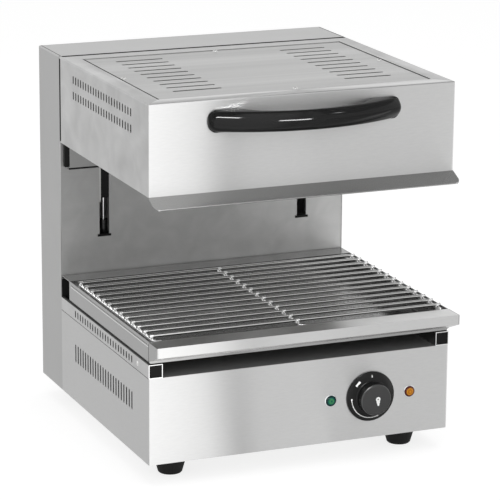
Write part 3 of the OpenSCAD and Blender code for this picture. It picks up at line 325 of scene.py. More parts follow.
left_end, right_end, shift, bright = -0.60, 0.05, 0.028, 1.65
falling = [(0.0, 0.96), (0.578, 0.94), (0.715, 0.79), (0.788, 0.40), (0.838, 0.55), (1.0, 0.55)]
rows = [(ahead(left_end, away), ahead(right_end, away)) for away in (card_near, card_far)]
rows += [(leaning(left_end, z), leaning(right_end - shift, z)) for z in (eye_level, 0.85, 1.6)]
card("near_card", [*rows[0], *reversed(rows[1])], bright, falling)
for name, lower, upper in zip(("low_card", "middle_card", "high_card"), rows[1:], rows[2:]):
    card(name, [*lower, *reversed(upper)], bright, falling)
card("right_card", [(0.36, -0.40, 0.002), (0.85, -0.40, 0.002), (0.85, -0.40, 0.36),
                    (0.36, -0.40, 0.36)], 1.9, [(0.0, 0.6), (0.3, 1.0), (1.0, 1.0)])
card("side_card", [(-3.5, -0.21, card_foot), (-0.24, -0.21, card_foot),
                   (-0.24, 5.0, card_foot), (-3.5, 5.0, card_foot)], 0.70)
card("back_card", [(-3.0, 4.5, 0.3), (6.0, 4.5, 0.3), (6.0, 4.5, 5.0), (-3.0, 4.5, 5.0)], 0.90)

# The ceiling of a studio is darker than its floor and walls.
card("ceiling_card", [(-3.0, -3.0, 3.0), (4.0, -3.0, 3.0), (4.0, 2.5, 3.0), (-3.0, 2.5, 3.0)],
     0.5, [(0.0, 0.8), (0.56, 0.5), (0.60, 0.5), (0.66, 1.0), (1.0, 1.0)])

# %% [markdown]
# A glossy black moulding only looks glossy when small bright lamps glint in it. Such a lamp
# would also draw a bright blot on the brushed steel, so each one is linked to a collection:
# it only lights the pieces in there. The pieces join it once they are made. Most of these
# lamps are short strips held close to the piece, in front of the cards. The last one is a
# panel before the wall: the rack's support wires run from front to back, so the wall is
# all that they can mirror, and the panel gives them their bright line.

# %% Glints
# Each lamp has a name, its place, its aim, its width, its height and its radiance.
glints = {
    "handle_glints": [
        ("glint_left", (-0.205, -0.357, 0.703), (-0.118, -0.232, 0.509), 0.10, 0.045, 60),
        ("glint_middle", (-0.001, -0.445, 0.550), (-0.033, -0.258, 0.504), 0.106, 0.035, 55),
        ("glint_right", (1.66, -1.31, 2.79), (0.035, -0.256, 0.510), 0.25, 0.25, 14)],
    "knob_glints": [
        ("glint_knob", (0.014, -0.370, 0.285), (0.092, -0.234, 0.109), 0.16, 0.03, 26)],
    "lens_glints": [
        ("glint_lens", (0.05, -0.450, 0.170), (0.10, -0.216, 0.090), 0.16, 0.02, 9)],
    "rack_glints": [
        ("glint_rack", (-0.03, 0.145, 0.320), (-0.03, -0.50, 0.320), 0.55, 0.20, 0.55)],
}
lit = {group: bpy.data.collections.new(group) for group in glints}
for group, lamps in glints.items():
    for values in lamps:
        lamp = soft_lamp(*values)
        lamp.visible_glossy = True
        lamp.light_linking.receiver_collection = lit[group]

# %% [markdown]
# ## Effects that several finishes share
#
# Brushed steel carries fine parallel scratches. Stretching a noise pattern along one
# direction gives them: the pattern changes fast across the brush and slowly along it. A
# second, large and soft pattern gives the cloudy look that wiping leaves on sheet metal.
# Each effect is a node group, built once and placed in every finish with its own values.

# %% Effect groups
def new_group(name, outputs, **inputs):
    """A shader node group that takes a Vector and named numbers and puts out numbers;
    returns it with its inputs and with what its results go into."""
    group = bpy.data.node_groups.new(name, "ShaderNodeTree")
    group.interface.new_socket("Vector", in_out="INPUT", socket_type="NodeSocketVector")
    for label, value in inputs.items():
        socket = group.interface.new_socket(label.replace("_", " "), in_out="INPUT",
                                            socket_type="NodeSocketFloat")
        socket.default_value = value
    for label in outputs:
        group.interface.new_socket(label, in_out="OUTPUT", socket_type="NodeSocketFloat")
    return group, add(group, "NodeGroupInput").outputs, add(group, "NodeGroupOutput").inputs


def noise_group(name, **look):
    """A group with one noise pattern: its Tone lies round 1, and its Height is plain."""
    group, inside, result = new_group(name, ["Tone", "Height"], Size=1.0, Contrast=0.1)
    noise = add(group, "ShaderNodeTexNoise", Vector=inside["Vector"], Scale=inside["Size"],
                **look).outputs[0]
    centred = number(group, "SUBTRACT", noise, 0.5)
    feed(result["Tone"], number(group, "MULTIPLY_ADD", centred, inside["Contrast"], 1.0))
    feed(result["Height"], noise)
    return group


brush_marks = noise_group("brush_marks", Detail=3.0, Roughness=0.65)
wiped_clouds = noise_group("wiped_clouds", Detail=2.0, Roughness=0.5, Distortion=0.4)
moulded_grain = noise_group("moulded_grain", Detail=2.0, Roughness=0.6)
print("groups:", [g.name for g in bpy.data.node_groups])

# %% [markdown]
# ## Brushed stainless steel
#
# Stainless sheet is brushed in one direction at the mill, and it is folded afterwards. The
# finish is a rough mirror that smears what it reflects across the brush. `grain` says how
# many scratches there are in a metre along X, Y and Z: few along the brush and many across
# it. The anisotropy does for the reflection what the pattern does for the colour.

# %% Metal finishes
def new_finish(name, **values):
    """A finish with one Principled shader; returns it, its tree, the shader's inputs and
    the place on the piece."""
    material, tree = new_material(name)
    shader = add(tree, "ShaderNodeBsdfPrincipled", **values)
    add(tree, "ShaderNodeOutputMaterial", Surface=shader)
    return material, tree, shader.inputs, add(tree, "ShaderNodeTexCoord").outputs["Object"]


def tinted(tree, colour, tone):
    """A colour made lighter or darker by a tone."""
    return add(tree, "ShaderNodeVectorMath", colour, operation="SCALE", Scale=tone)


def metal(name, colour, roughness, grain, contrast=0.06, clouds=0.05, wipe=(9, 9, 9),
          smear=0.0):
    """A metal with brush marks and wiped clouds; smear stretches its reflections. wipe
    says how many clouds there are in a metre along X, Y and Z."""
    material, tree, skin, place = new_finish(name, Metallic=1.0, Anisotropic=smear,
                                             Anisotropic_Rotation=0.25)
    marks = add(tree, "ShaderNodeGroup", node_tree=brush_marks, Contrast=contrast,
                Vector=add(tree, "ShaderNodeMapping", Vector=place, Scale=grain)).outputs
    wipes = add(tree, "ShaderNodeGroup", node_tree=wiped_clouds, Contrast=clouds,
                Vector=add(tree, "ShaderNodeMapping", Vector=place, Scale=wipe)).outputs
    tone = number(tree, "MULTIPLY", marks["Tone"], wipes["Tone"])
    feed(skin["Base Color"], tinted(tree, colour, tone))
    feed(skin["Roughness"], number(tree, "MULTIPLY", marks["Tone"], roughness))
    feed(skin["Normal"], add(tree, "ShaderNodeBump", Strength=0.5, Distance=0.02 * mm,
                             Height=marks["Height"]))
    return material


# painted shade: the side, rail, column and wall steels are darker than the front steel
along_x, along_y, level, upright = (90, 500, 500), (500, 60, 500), (90, 90, 500), (500, 500, 60)
front_steel = metal("front_steel", (0.69, 0.69, 0.687), 0.32, along_x, contrast=0.12, smear=1.0)
wrap_steel = metal("wrap_steel", (0.67, 0.67, 0.667), 0.32, level, contrast=0.12, smear=1.0)
side_steel = metal("side_steel", (0.60, 0.60, 0.597), 0.28, along_y, clouds=0.5,
                   wipe=(22, 22, 22), smear=0.6)
column_steel = metal("column_steel", (0.52, 0.52, 0.517), 0.32, upright, clouds=0.10)
wall_steel = metal("wall_steel", (0.46, 0.46, 0.456), 0.50, level, clouds=0.35, wipe=(30, 30, 30))
guard_steel = metal("guard_steel", (0.26, 0.26, 0.257), 0.35, upright)
plate_steel = metal("plate_steel", (0.475, 0.475, 0.471), 0.30, along_x, contrast=0.3, clouds=0.6,
                    wipe=(0.8, 30, 1))
visor_steel = metal("visor_steel", (0.40, 0.40, 0.397), 0.24, along_x)
inner_steel = metal("inner_steel", (0.45, 0.45, 0.44), 0.40, level, contrast=0.08)
mirror_steel = metal("mirror_steel", (0.40, 0.39, 0.375), 0.22, (60, 60, 60), clouds=0.12)
bright_wire = metal("bright_wire", (0.9, 0.9, 0.89), 0.20, (80, 80, 80))
screw_steel = metal("screw_steel", (0.40, 0.40, 0.395), 0.24, (300, 300, 300))
bright_screw = metal("bright_screw", (0.88, 0.88, 0.87), 0.18, (300, 300, 300))
rail_steel = metal("rail_steel", (0.60, 0.60, 0.597), 0.28, along_y, clouds=0.3,
                   wipe=(22, 22, 22), smear=0.6)
# painted highlight: a bright steel for strips along the tray's sides
highlight_steel = metal("highlight_steel", (0.88, 0.88, 0.875), 0.30, along_y)
rod_steel = metal("rod_steel", (0.72, 0.72, 0.72), 0.12, (400, 400, 12))
slider_alloy = metal("slider_alloy", (0.62, 0.63, 0.64), 0.42, (500, 500, 40))
bush_bronze = metal("bush_bronze", (0.55, 0.36, 0.16), 0.35, (300, 300, 300))
stud_brass = metal("stud_brass", (0.70, 0.52, 0.20), 0.25, (300, 300, 300))
bezel_chrome = metal("bezel_chrome", (0.90, 0.92, 0.93), 0.36, (300, 300, 300))
element_sheath = metal("element_sheath", (0.20, 0.19, 0.18), 0.55, (120, 120, 120), contrast=0.25)
print("metal finishes:", len([m for m in bpy.data.materials if "steel" in m.name]))

# %% [markdown]
# ## The drip tray and the rack
#
# Inside the tray, behind its nose, the steel is painted darker, as painted shade for the dark
# underside of the head that it mirrors, and its outer side walls are painted darker too, as
# painted shade. On the rack the three support wires and the welds on them are painted bright,
# as a painted highlight, and the cross wires are painted darker, as painted shade. Both
# differences are found by place: a group turns the distance from the middle into a mask, and
# the mask makes the steel's colour darker or brighter.

# %% Mask group
strip_mask, inside, result = new_group("strip_mask", ["Tone"], Middle=0.0, Half_Width=0.2,
                                       Front=-1.0, Inside=0.5, Outside=1.0)
parts = add(strip_mask, "ShaderNodeSeparateXYZ", inside["Vector"]).outputs
aside = number(strip_mask, "ABSOLUTE", parts["X"])
away = number(strip_mask, "ABSOLUTE", number(strip_mask, "SUBTRACT", aside, inside["Middle"]))
within = number(strip_mask, "LESS_THAN", away, inside["Half Width"])
behind = number(strip_mask, "GREATER_THAN", parts["Y"], inside["Front"])
strip = number(strip_mask, "MULTIPLY", within, behind)
change = number(strip_mask, "SUBTRACT", inside["Inside"], inside["Outside"])
feed(result["Tone"], number(strip_mask, "MULTIPLY_ADD", strip, change, inside["Outside"]))


def mask(material, kind=strip_mask, **values):
    """Multiplies a finish's colour by a mask with these values; returns the mask's tone."""
    tree = material.node_tree
    scale = next(n for n in tree.nodes if n.type == "VECT_MATH").inputs["Scale"]
    place = next(n for n in tree.nodes if n.type == "TEX_COORD").outputs["Object"]
    tone = add(tree, "ShaderNodeGroup", node_tree=kind, Vector=place, **values).outputs["Tone"]
    feed(scale, number(tree, "MULTIPLY", scale.links[0].from_socket, tone))
    return tone


print("the strip mask takes", [s.name for s in inside if s.name])

# %% [markdown]
# Shade is also painted by height: the wall is painted darker near the head, as painted shade
# under it, than down by the rack, and the rims on top of the side panels are painted greyer
# than the sides, as painted shade. A second group runs from one tone to another between two
# heights.

# %% Height group
height_fade, inside, result = new_group("height_fade", ["Tone"], Low=0.0, High=1.0, Below=1.0,
                                        Above=1.0)
parts = add(height_fade, "ShaderNodeSeparateXYZ", inside["Vector"]).outputs
feed(result["Tone"], add(height_fade, "ShaderNodeMapRange", Value=parts["Z"], clamp=True,
                         From_Min=inside["Low"], From_Max=inside["High"],
                         To_Min=inside["Below"], To_Max=inside["Above"]))
print("groups now:", [g.name for g in bpy.data.node_groups])

# %% Tray and rack finishes
tray_steel = metal("tray_steel", (0.68, 0.68, 0.676), 0.34, level, contrast=0.1, smear=0.9)
low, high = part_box("drip_tray")
pan_front = low.y + 32.5 * mm
# painted shade: the pan behind its nose is made darker, and smoother as well
pan = mask(tray_steel, Half_Width=high.x - 1.0 * mm, Front=pan_front, Inside=0.58)
# painted shade: the outer side walls of the tray are made darker
mask(tray_steel, Half_Width=high.x - 1.5 * mm, Inside=1.0, Outside=0.68)
tree = tray_steel.node_tree
rough = next(n for n in tree.nodes if n.type == "BSDF_PRINCIPLED").inputs["Roughness"]
feed(rough, number(tree, "MULTIPLY", rough.links[0].from_socket, pan))
print("tray is darker behind y =", round(pan_front / mm, 1), "mm")

low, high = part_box("wire_rack")
rack_top, support_r, support_x = high.z, 2.5 * mm, high.x - 3.5 * mm
# painted highlight on the middle support wire; the cross wires are made darker as painted shade
mask(bright_wire, Half_Width=support_r, Inside=1.3, Outside=0.60)
# painted highlight: the two outer support wires are made brighter still
mask(bright_wire, Middle=support_x, Half_Width=support_r, Inside=2.2)
print("support wires at x = 0 and", round(support_x / mm, 1), "mm")

# %% Wall, sides, rims and rails
sheet = 0.8 * mm  # the thickness of the steel
# painted shade: the wall gets darker towards the head
mask(wall_steel, height_fade, Low=rack_top, High=rack_top + 150 * mm, Below=1.12, Above=0.80)
low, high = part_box("base_wrap")
# painted shade: the side walls of the base are made a little darker than its front
mask(wrap_steel, Half_Width=high.x - 0.5 * mm, Inside=1.0, Outside=0.93)
low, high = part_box("rail_left")
# painted highlight: the front ends of the rails are made brighter
mask(rail_steel, Half_Width=1.0, Front=low.y + sheet / 2, Inside=1.0, Outside=1.6)
low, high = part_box("head_left_panel")
# painted shade: the rims on top of the side panels are made greyer
mask(side_steel, height_fade, Low=high.z - 2 * sheet, High=high.z - sheet, Above=0.86)
print("rims above", round((high.z - 2 * sheet) / mm, 1), "mm are greyer")

# %% [markdown]
# ## Plastics, rubber, enamel and wool
#
# The dark parts differ mostly in gloss. The handle is a glossy moulding, the knob a satin
# one, the feet are matt rubber and the slides are plain nylon. All have a fine pitted skin
# from the mould, so one recipe serves them, with its own colour, roughness and pits.

# %% Moulded and coated finishes
def grey(value):
    """A colour without a hue."""
    return (value, value, value)


def moulded(name, colour, roughness, pits=1500.0, contrast=0.12, depth=0.01, specular=0.5):
    """A plastic, rubber or enamel with a fine pitted skin."""
    material, tree, skin, place = new_finish(name, Roughness=roughness,
                                             Specular_IOR_Level=specular)
    grain = add(tree, "ShaderNodeGroup", node_tree=moulded_grain, Vector=place, Size=pits,
                Contrast=contrast).outputs
    feed(skin["Base Color"], tinted(tree, colour, grain["Tone"]))
    feed(skin["Normal"], add(tree, "ShaderNodeBump", Strength=0.4, Distance=depth * mm,
                             Height=grain["Height"]))
    return material


handle_black = moulded("handle_black", grey(0.004), 0.08, contrast=0.3, specular=0.18)
knob_black = moulded("knob_black", grey(0.007), 0.26, depth=0.02, specular=0.2)
edge_black = moulded("edge_black", grey(0.01), 0.28, depth=0.02, specular=1.0)
cap_black = moulded("cap_black", grey(0.05), 0.5, pits=2200, depth=0.04, specular=0.2)
foot_rubber = moulded("foot_rubber", grey(0.016), 0.7, pits=900, depth=0.05, specular=0.25)
slide_nylon = moulded("slide_nylon", grey(0.006), 0.4, specular=0.15)
gland_nylon = moulded("gland_nylon", grey(0.02), 0.45)
strut_paint = moulded("strut_paint", grey(0.012), 0.25, pits=700)
deck_enamel = moulded("deck_enamel", grey(0.22), 0.5, pits=500, depth=0.02)
# painted shade: the deck is made much darker behind y = -0.12 m, under the tray
mask(deck_enamel, Half_Width=1.0, Front=-0.12, Inside=0.15)
block_plastic = moulded("block_plastic", (0.62, 0.58, 0.48), 0.45)
regulator_plastic = moulded("regulator_plastic", (0.70, 0.69, 0.65), 0.4)
wool = moulded("insulation_wool", (0.72, 0.68, 0.58), 0.95, pits=260, contrast=0.5, depth=1.5)
mark_white = moulded("mark_white", (0.92, 0.92, 0.91), 0.5)
# painted shade: a black for strips in the gaps, and for the buffers behind the rails
shade_and_buffer_black = moulded("shade_and_buffer_black", grey(0.025), 0.9, pits=700, contrast=0.5, depth=0.1,
                     specular=0.05)
print("moulded and coated finishes are ready")

# %% Give every node its finish
def wear(piece, material):
    """Gives a piece one finish in place of what it has."""
    piece.data.materials.clear()
    piece.data.materials.append(material)


finishes = {
    wrap_steel: ["base_wrap"],
    front_steel: ["head_front_panel"],
    side_steel: ["head_left_panel", "head_right_panel"],
    rail_steel: ["rail_left", "rail_right"],
    column_steel: ["column_shell", "head_rear_panel", "rear_cover"],
    wall_steel: ["wall_panel"],
    plate_steel: ["top_plate"],
    visor_steel: ["visor"],
    tray_steel: ["drip_tray"],
    inner_steel: ["base_floor", "cross_brackets", "arm_left", "arm_right", "carriage_plate",
                  "element_holders"],
    guard_steel: ["slot_guards"],
    mirror_steel: ["reflector"],
    bright_wire: ["wire_rack"],
    screw_steel: ["foot_screws", "column_nuts", "strut_top_nuts", "head_screws",
                  "regulator_nut"],
    bright_screw: ["rail_rivets", "rear_cover_screws", "top_plate_screws"],
    rod_steel: ["guide_rod_left", "guide_rod_right", "strut_rod_left", "strut_rod_right",
                "regulator_shaft"],
    slider_alloy: ["sliders"],
    bush_bronze: ["slider_bushes"],
    stud_brass: ["bonding_stud"],
    bezel_chrome: ["lamp_bezels"],
    element_sheath: ["heating_elements"],
    handle_black: ["handle"],
    knob_black: ["knob"],
    foot_rubber: ["foot_front_left", "foot_front_right", "foot_rear_left", "foot_rear_right"],
    slide_nylon: ["slot_stops", "glide_pads", "arm_glides", "rail_glides", "rail_plugs"],
    gland_nylon: ["cable_gland"],
    strut_paint: ["strut_cylinder_left", "strut_cylinder_right"],
    deck_enamel: ["base_deck"],
    block_plastic: ["terminal_block"],
    regulator_plastic: ["energy_regulator"],
    wool: ["insulation"],
}
for material, names in finishes.items():
    for name in names:
        wear(nodes[name], material)
print("dressed", sum(map(len, finishes.values())), "of", len(nodes), "nodes")

# %% [markdown]
# ## The bow handle
#
# The handle is one glossy moulding: a bar that bows out from the panel between two feet.
# A curve with a bevel would give a bar of one thickness, but here each foot is as deep as
# the handle stands out, and the bar between them is thin. So the middle section is drawn
# first, and is extruded sideways station by station. At each station the front of the
# section follows the bow's arc, its back falls towards the panel, and near the end the
# whole section shrinks into the rounded tip. A mirror then makes the other half.

# %% Shape of the handle along its length
low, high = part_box("handle")
panel, half, centre_z = high.y, high.x, (low.z + high.z) / 2
reach = high.y - low.y
grip, tall, foot, tip = 14 * mm, 14 * mm, 42 * mm, 8 * mm
face_drop, knee_depth, foot_flare = 9 * mm, 8 * mm, 1.5 * mm
front_rounding, end_rounding = 5 * mm, 12 * mm
face_bevel, back_bevel = 4.2 * mm, 2.7 * mm
bow = (half**2 + (reach - tip) ** 2) / (2 * (reach - tip))


def fallen(x, radius):
    """How far a rounded end has fallen away at x."""
    past = max(0.0, x - (half - radius))
    return radius - math.sqrt(max(0.0, radius**2 - past**2))


def handle_corners(x):
    """(depth, half height) of the front, knee and back corners of the section at x."""
    arc = reach - bow + math.sqrt(bow**2 - x**2)
    front = arc - fallen(x, front_rounding)
    along = x / (half - foot)
    back = 0.0 if along >= 1 else (arc - grip) * math.cos(math.pi / 2 * along**4)
    knee = front - min(knee_depth, 0.6 * (front - back))
    height = tall - fallen(x, end_rounding)
    face = height - min(face_drop, height * face_drop / tall)
    flare = foot_flare * (1 - back / (reach - grip))
    return (front, face), (knee, height), (back, height + flare)


print("handle", round(2 * half / mm), "mm long, bow radius", round(bow / mm), "mm")

# %% Draw the middle section
front, knee, back = handle_corners(0)
clear_selection()
bpy.ops.mesh.primitive_plane_add(size=1, rotation=(0, math.pi / 2, 0),
                                 location=(0, panel - (front[0] + back[0]) / 2, centre_z))
handle = bpy.context.object
handle.scale = (2 * knee[1], front[0] - back[0], 1)
bpy.ops.object.transform_apply()
edit(handle, "VERT", "SELECT")
bpy.ops.mesh.bisect(plane_co=(0, panel - knee[0], centre_z), plane_no=(0, 1, 0))
in_front = panel - (front[0] + knee[0]) / 2
pick(handle, lambda co: co.y < in_front)
bpy.ops.transform.resize(value=(1, 1, front[1] / knee[1]),
                         center_override=(0, panel - front[0], centre_z))
bpy.ops.mesh.select_all(action="SELECT")
bpy.ops.mesh.dissolve_faces()
pick(handle, lambda co: co.y < in_front)
bpy.ops.mesh.bevel(offset=face_bevel, segments=6, affect="VERTICES")
pick(handle, lambda co: co.y > in_front)
bpy.ops.mesh.bevel(offset=back_bevel, segments=4, affect="VERTICES")
bpy.ops.object.mode_set(mode="OBJECT")
print("section of", len(handle.data.vertices), "points")

# %% Extrude it to the tip
def move_corner(x, outer, inner, was, now, shrink):
    """Moves the part of the new section between two depths from one corner to the next."""
    pick(handle, lambda co: co.x > x - close and inner <= panel - co.y < outer)
    bpy.ops.transform.translate(value=(0, was[0] - now[0], 0))
    bpy.ops.transform.resize(value=(1, shrink, now[1] / was[1]),
                             center_override=(x, panel - now[0], centre_z))


stations = 26
edit(handle, "FACE", "SELECT")
corners, x = handle_corners(0), 0.0
for station in range(1, stations + 1):
    next_x = half * math.sin(math.pi / 2 * station / stations)
    new = handle_corners(next_x)
    bpy.ops.mesh.extrude_region_move(TRANSFORM_OT_translate={"value": (next_x - x, 0, 0)})
    x = next_x
    bpy.ops.mesh.select_mode(type="VERT")
    shrink = (new[0][0] - new[1][0]) / (corners[0][0] - corners[1][0])
    fore = (corners[0][0] + corners[1][0]) / 2
    aft = (corners[1][0] + corners[2][0]) / 2
    moves = [(1.0, fore, 0), (fore, aft, 1), (aft, -1.0, 2)]
    if new[0][0] > corners[0][0]:
        moves.reverse()
    for outer, inner, which in reversed(moves):
        move_corner(x, outer, inner, corners[which], new[which], shrink)
    bpy.ops.mesh.select_mode(type="FACE")
    pick(handle, lambda face: face.center.x > x - close, "faces")
    corners = new
print("extruded", stations, "stations to x =", round(x / mm, 1), "mm")

# %% Mirror it
pick(handle, lambda face: face.center.x < close, "faces")
bpy.ops.mesh.delete(type="FACE")
bpy.ops.object.mode_set(mode="OBJECT")
bpy.ops.object.modifier_add(type="MIRROR")
bpy.ops.object.modifier_apply(modifier=handle.modifiers[-1].name)
settle(handle, "bow_handle", 32)
handle.data.materials.append(handle_black)
lit["handle_glints"].objects.link(handle)
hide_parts("handle")
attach(handle, "head")

# %% [markdown]
# ## The control knob
#
# The knob and its sloping skirt are one satin moulding, turned about the shaft. A lathe
# profile can be spun, but extruding a disc ring by ring keeps the steps in the order in
# which the eye meets them: the skirt's edge, its slope, the round hollow at the foot of the
# grip, the grip itself, and the rounded edge of the cap. Fingers polish that edge, so it is
# shinier than the rest, and the flat of the cap is the most matt.

# %% Turned shapes
forwards = Vector((0, -1, 0))


def disc(centre, radius, way, sides):
    """A flat disc that faces one way, open in edit mode and selected; its radius is in mm."""
    clear_selection()
    bpy.ops.mesh.primitive_circle_add(
        vertices=sides, radius=radius * mm, fill_type="NGON", location=centre,
        rotation=way.to_track_quat("Z", "Y").to_euler())
    piece = bpy.context.object
    bpy.ops.object.transform_apply()
    edit(piece, "FACE", "SELECT")
    return piece


def turned(name, centre, rings, way=forwards, sides=96, angle=35):
    """Extrudes a disc out of a place, one way, through rings of (radius, distance) in mm."""
    radius, far = rings[0]
    piece = disc(centre + way * far * mm, radius, way, sides)
    for next_radius, next_far in rings[1:]:
        bpy.ops.mesh.extrude_region_move(
            TRANSFORM_OT_translate={"value": way * (next_far - far) * mm})
        size = next_radius / radius
        bpy.ops.transform.resize(value=[1 if abs(w) > 0.5 else size for w in way],
                                 center_override=centre)
        radius, far = next_radius, next_far
    return settle(piece, name, angle)


low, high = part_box("knob")
knob_axis = Vector(((low.x + high.x) / 2, high.y, (low.z + high.z) / 2))
skirt_edge, skirt_top, hollow_r = (35.2, 2.5), (25.5, 6.0), 2.5
cap_r, cap_out, cap_round = 22.5, 21.2, 2.0
quarter = [math.radians(15 * i) for i in range(7)]
hollow = [(skirt_top[0] - hollow_r * math.sin(a), skirt_top[1] + hollow_r * (1 - math.cos(a)))
          for a in quarter]
cap_edge = [(cap_r - cap_round * (1 - math.cos(a)), cap_out - cap_round * (1 - math.sin(a)))
            for a in quarter]
knob = turned("control_knob", knob_axis,
              [(35.5, 0), (35.9, 0.3), (36, 0.7), (36, 1.5), (35.8, 2.1), skirt_edge,
               *hollow, *cap_edge, (20, cap_out)])
for material in (knob_black, edge_black, cap_black):
    knob.data.materials.append(material)
edit(knob, "FACE")
for index, depth in ((1, 2.2), (2, 0.2)):  # the rounded edge, then the flat of the cap
    pick(knob, lambda face: face.center.y < low.y + depth * mm, "faces")
    knob.active_material_index = index
    bpy.ops.object.material_slot_assign()
bpy.ops.object.mode_set(mode="OBJECT")
lit["knob_glints"].objects.link(knob)
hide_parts("knob")
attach(knob, "control")

# %% [markdown]
# ## The marks on the knob
#
# White marks are printed on the skirt: a short line at off, a block for full heat, and a
# thin arc with a dot at each end for the range between. A small pointer is printed on the
# cap. A mark on the skirt is a thin rectangle that lies on the slope and is spun about the
# knob's axis, so that it follows the cone.

# %% Marks on the skirt
slope = Vector((skirt_top[0] - skirt_edge[0], skirt_top[1] - skirt_edge[1])).normalized()
print_lift = 0.05


def on_skirt(radius, clock):
    """The place on the skirt at a radius in mm and a clock angle in degrees, and its normal."""
    depth = skirt_edge[1] + (skirt_edge[0] - radius) * -slope[1] / slope[0]
    around = math.radians(clock)
    out = Vector((math.sin(around), 0, math.cos(around)))
    normal = out * slope[1] + Vector((0, slope[0], 0))
    place = knob_axis + (out * radius + forwards * depth + normal * print_lift) * mm
    return place, normal.normalized()


def skirt_stroke(radius, width, start, end, steps):
    """A printed stroke: a rectangle on the slope, spun from one clock angle to another."""
    clear_selection()
    bpy.ops.mesh.primitive_plane_add(size=1, rotation=(0, math.pi / 2, 0))
    stroke = bpy.context.object
    place, normal = on_skirt(radius, 0)
    stroke.scale = (width * mm, 0.16 * mm, 1)
    bpy.ops.object.transform_apply(location=False)
    lean = math.atan2(-slope[1], -slope[0])
    stroke.matrix_world = (Matrix.Translation(knob_axis)
                           @ Matrix.Rotation(math.radians(start), 4, "Y")
                           @ Matrix.Translation(place - knob_axis)
                           @ Matrix.Rotation(lean, 4, "X"))
    bpy.ops.object.transform_apply()
    edit(stroke, "VERT", "SELECT")
    bpy.ops.mesh.spin(steps=steps, angle=math.radians(start - end), center=knob_axis,
                      axis=(0, 1, 0))
    bpy.ops.object.mode_set(mode="OBJECT")
    middle = sum((v.co for v in stroke.data.vertices), Vector()) / len(stroke.data.vertices)
    turn = math.degrees(math.atan2(middle.x - knob_axis.x, middle.z - knob_axis.z))
    print("stroke meant for", (start + end) / 2, "lies at", round(turn, 1), "degrees")
    return stroke


def dot(place, normal, radius):
    """A round printed dot on a surface."""
    spot = disc(place, radius, normal, 20)
    bpy.ops.mesh.extrude_region_move(TRANSFORM_OT_translate={"value": normal * 0.12 * mm})
    bpy.ops.object.mode_set(mode="OBJECT")
    return spot


off_mark, full_mark = 0.9, -45.0
arc_start, arc_end, arc_radius = -92.0, -199.0, 30.1
marks = [
    skirt_stroke(30.0, 3.6, off_mark - 1.2, off_mark + 1.2, 2),
    skirt_stroke(29.6, 3.0, full_mark - 8.5, full_mark + 8.5, 8),
    skirt_stroke(arc_radius, 1.2, arc_end, arc_start, 48),
    dot(*on_skirt(arc_radius, arc_start), 1.3),
    dot(*on_skirt(arc_radius, arc_end), 1.3),
]

# %% The pointer on the cap
cap_face = low.y + 0.02 * mm
ring_middle = Vector((107.1 * mm, cap_face, 92.4 * mm))
ring = disc(ring_middle, 3.5, forwards, 28)
bpy.ops.mesh.inset(thickness=2.5 * mm)
bpy.ops.mesh.delete(type="FACE")
bpy.ops.mesh.select_all(action="SELECT")
bpy.ops.mesh.extrude_region_move(TRANSFORM_OT_translate={"value": forwards * 0.10 * mm})

drop_middle = Vector((107.3 * mm, cap_face, 88.4 * mm))
drop = disc(drop_middle, 2.6, forwards, 28)
pick(drop, lambda co: co.z < drop_middle.z - 0.1 * mm)
bpy.ops.transform.translate(value=(0.3 * mm, 0, -3.0 * mm))
bpy.ops.transform.resize(value=(0.6, 1, 1), center_override=drop_middle)
bpy.ops.mesh.select_all(action="SELECT")
bpy.ops.mesh.extrude_region_move(TRANSFORM_OT_translate={"value": forwards * 0.14 * mm})
marks += [ring, drop]


def joined(pieces, name, angle=None):
    """Joins pieces into one and settles it."""
    clear_selection()
    for piece in pieces:
        piece.select_set(True)
    bpy.context.view_layer.objects.active = pieces[0]
    bpy.ops.object.join()
    return settle(bpy.context.object, name, angle)


knob_marks = joined(marks, "knob_marks")
knob_marks.data.materials.append(mark_white)
lit["knob_glints"].objects.link(knob_marks)
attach(knob_marks, "control")

# %% [markdown]
# ## Lamp lenses
#
# Each pilot lamp is a small coloured dome. It is coloured dark round its rim, where one looks
# through more plastic, and lighter further in, as painted light for the ribs inside the lens
# catching the light. The distance from the lamp's own middle gives that, through a ramp of
# colours.

# %% Lens finish
def lens_colour(name, node, rim, body, centre):
    """Coloured plastic, darker at the rim and lighter in the middle of a lamp."""
    low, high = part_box(node)
    middle, radius = (low + high) / 2, 7.8 * mm
    material, tree, skin, place = new_finish(name, Roughness=0.10, Specular_IOR_Level=0.2)
    centred = add(tree, "ShaderNodeVectorMath", place, (middle.x, low.y, middle.z),
                  operation="SUBTRACT")
    flat = add(tree, "ShaderNodeVectorMath", centred, (1 / radius, 0, 1 / radius),
               operation="MULTIPLY")
    away = add(tree, "ShaderNodeVectorMath", flat, operation="LENGTH").outputs["Value"]
    bands = add(tree, "ShaderNodeValToRGB", away)
    rings = bands.color_ramp.elements
    rings[0].position, rings[0].color = 0.10, (*body, 1)
    rings[1].position, rings[1].color = 0.78, (*rim, 1)
    for ring_place, ring_colour in [(0.26, centre), (0.42, centre), (0.56, body)]:
        rings.new(ring_place).color = (*ring_colour, 1)
    feed(skin["Base Color"], bands)
    wear(nodes[node], material)
    lit["lens_glints"].objects.link(nodes[node])
    print(node, "wears", name)


lens_colour("lens_green", "power_lamp", (0.0, 0.03, 0.03), (0.002, 0.14, 0.10),
            (0.05, 0.27, 0.10))
lens_colour("lens_amber", "heat_lamp", (0.09, 0.010, 0.010), (0.78, 0.32, 0.02),
            (0.56, 0.19, 0.008))

# %% [markdown]
# ## Screws
#
# The screws of the top plate and of the rear cover have low round heads with a cross recess.
# One head is turned like the knob, only upwards, and a cross is cut into it: a bar is
# subtracted from it twice, the second time across. All others are copies with their own
# mesh, set down or turned to the rear.

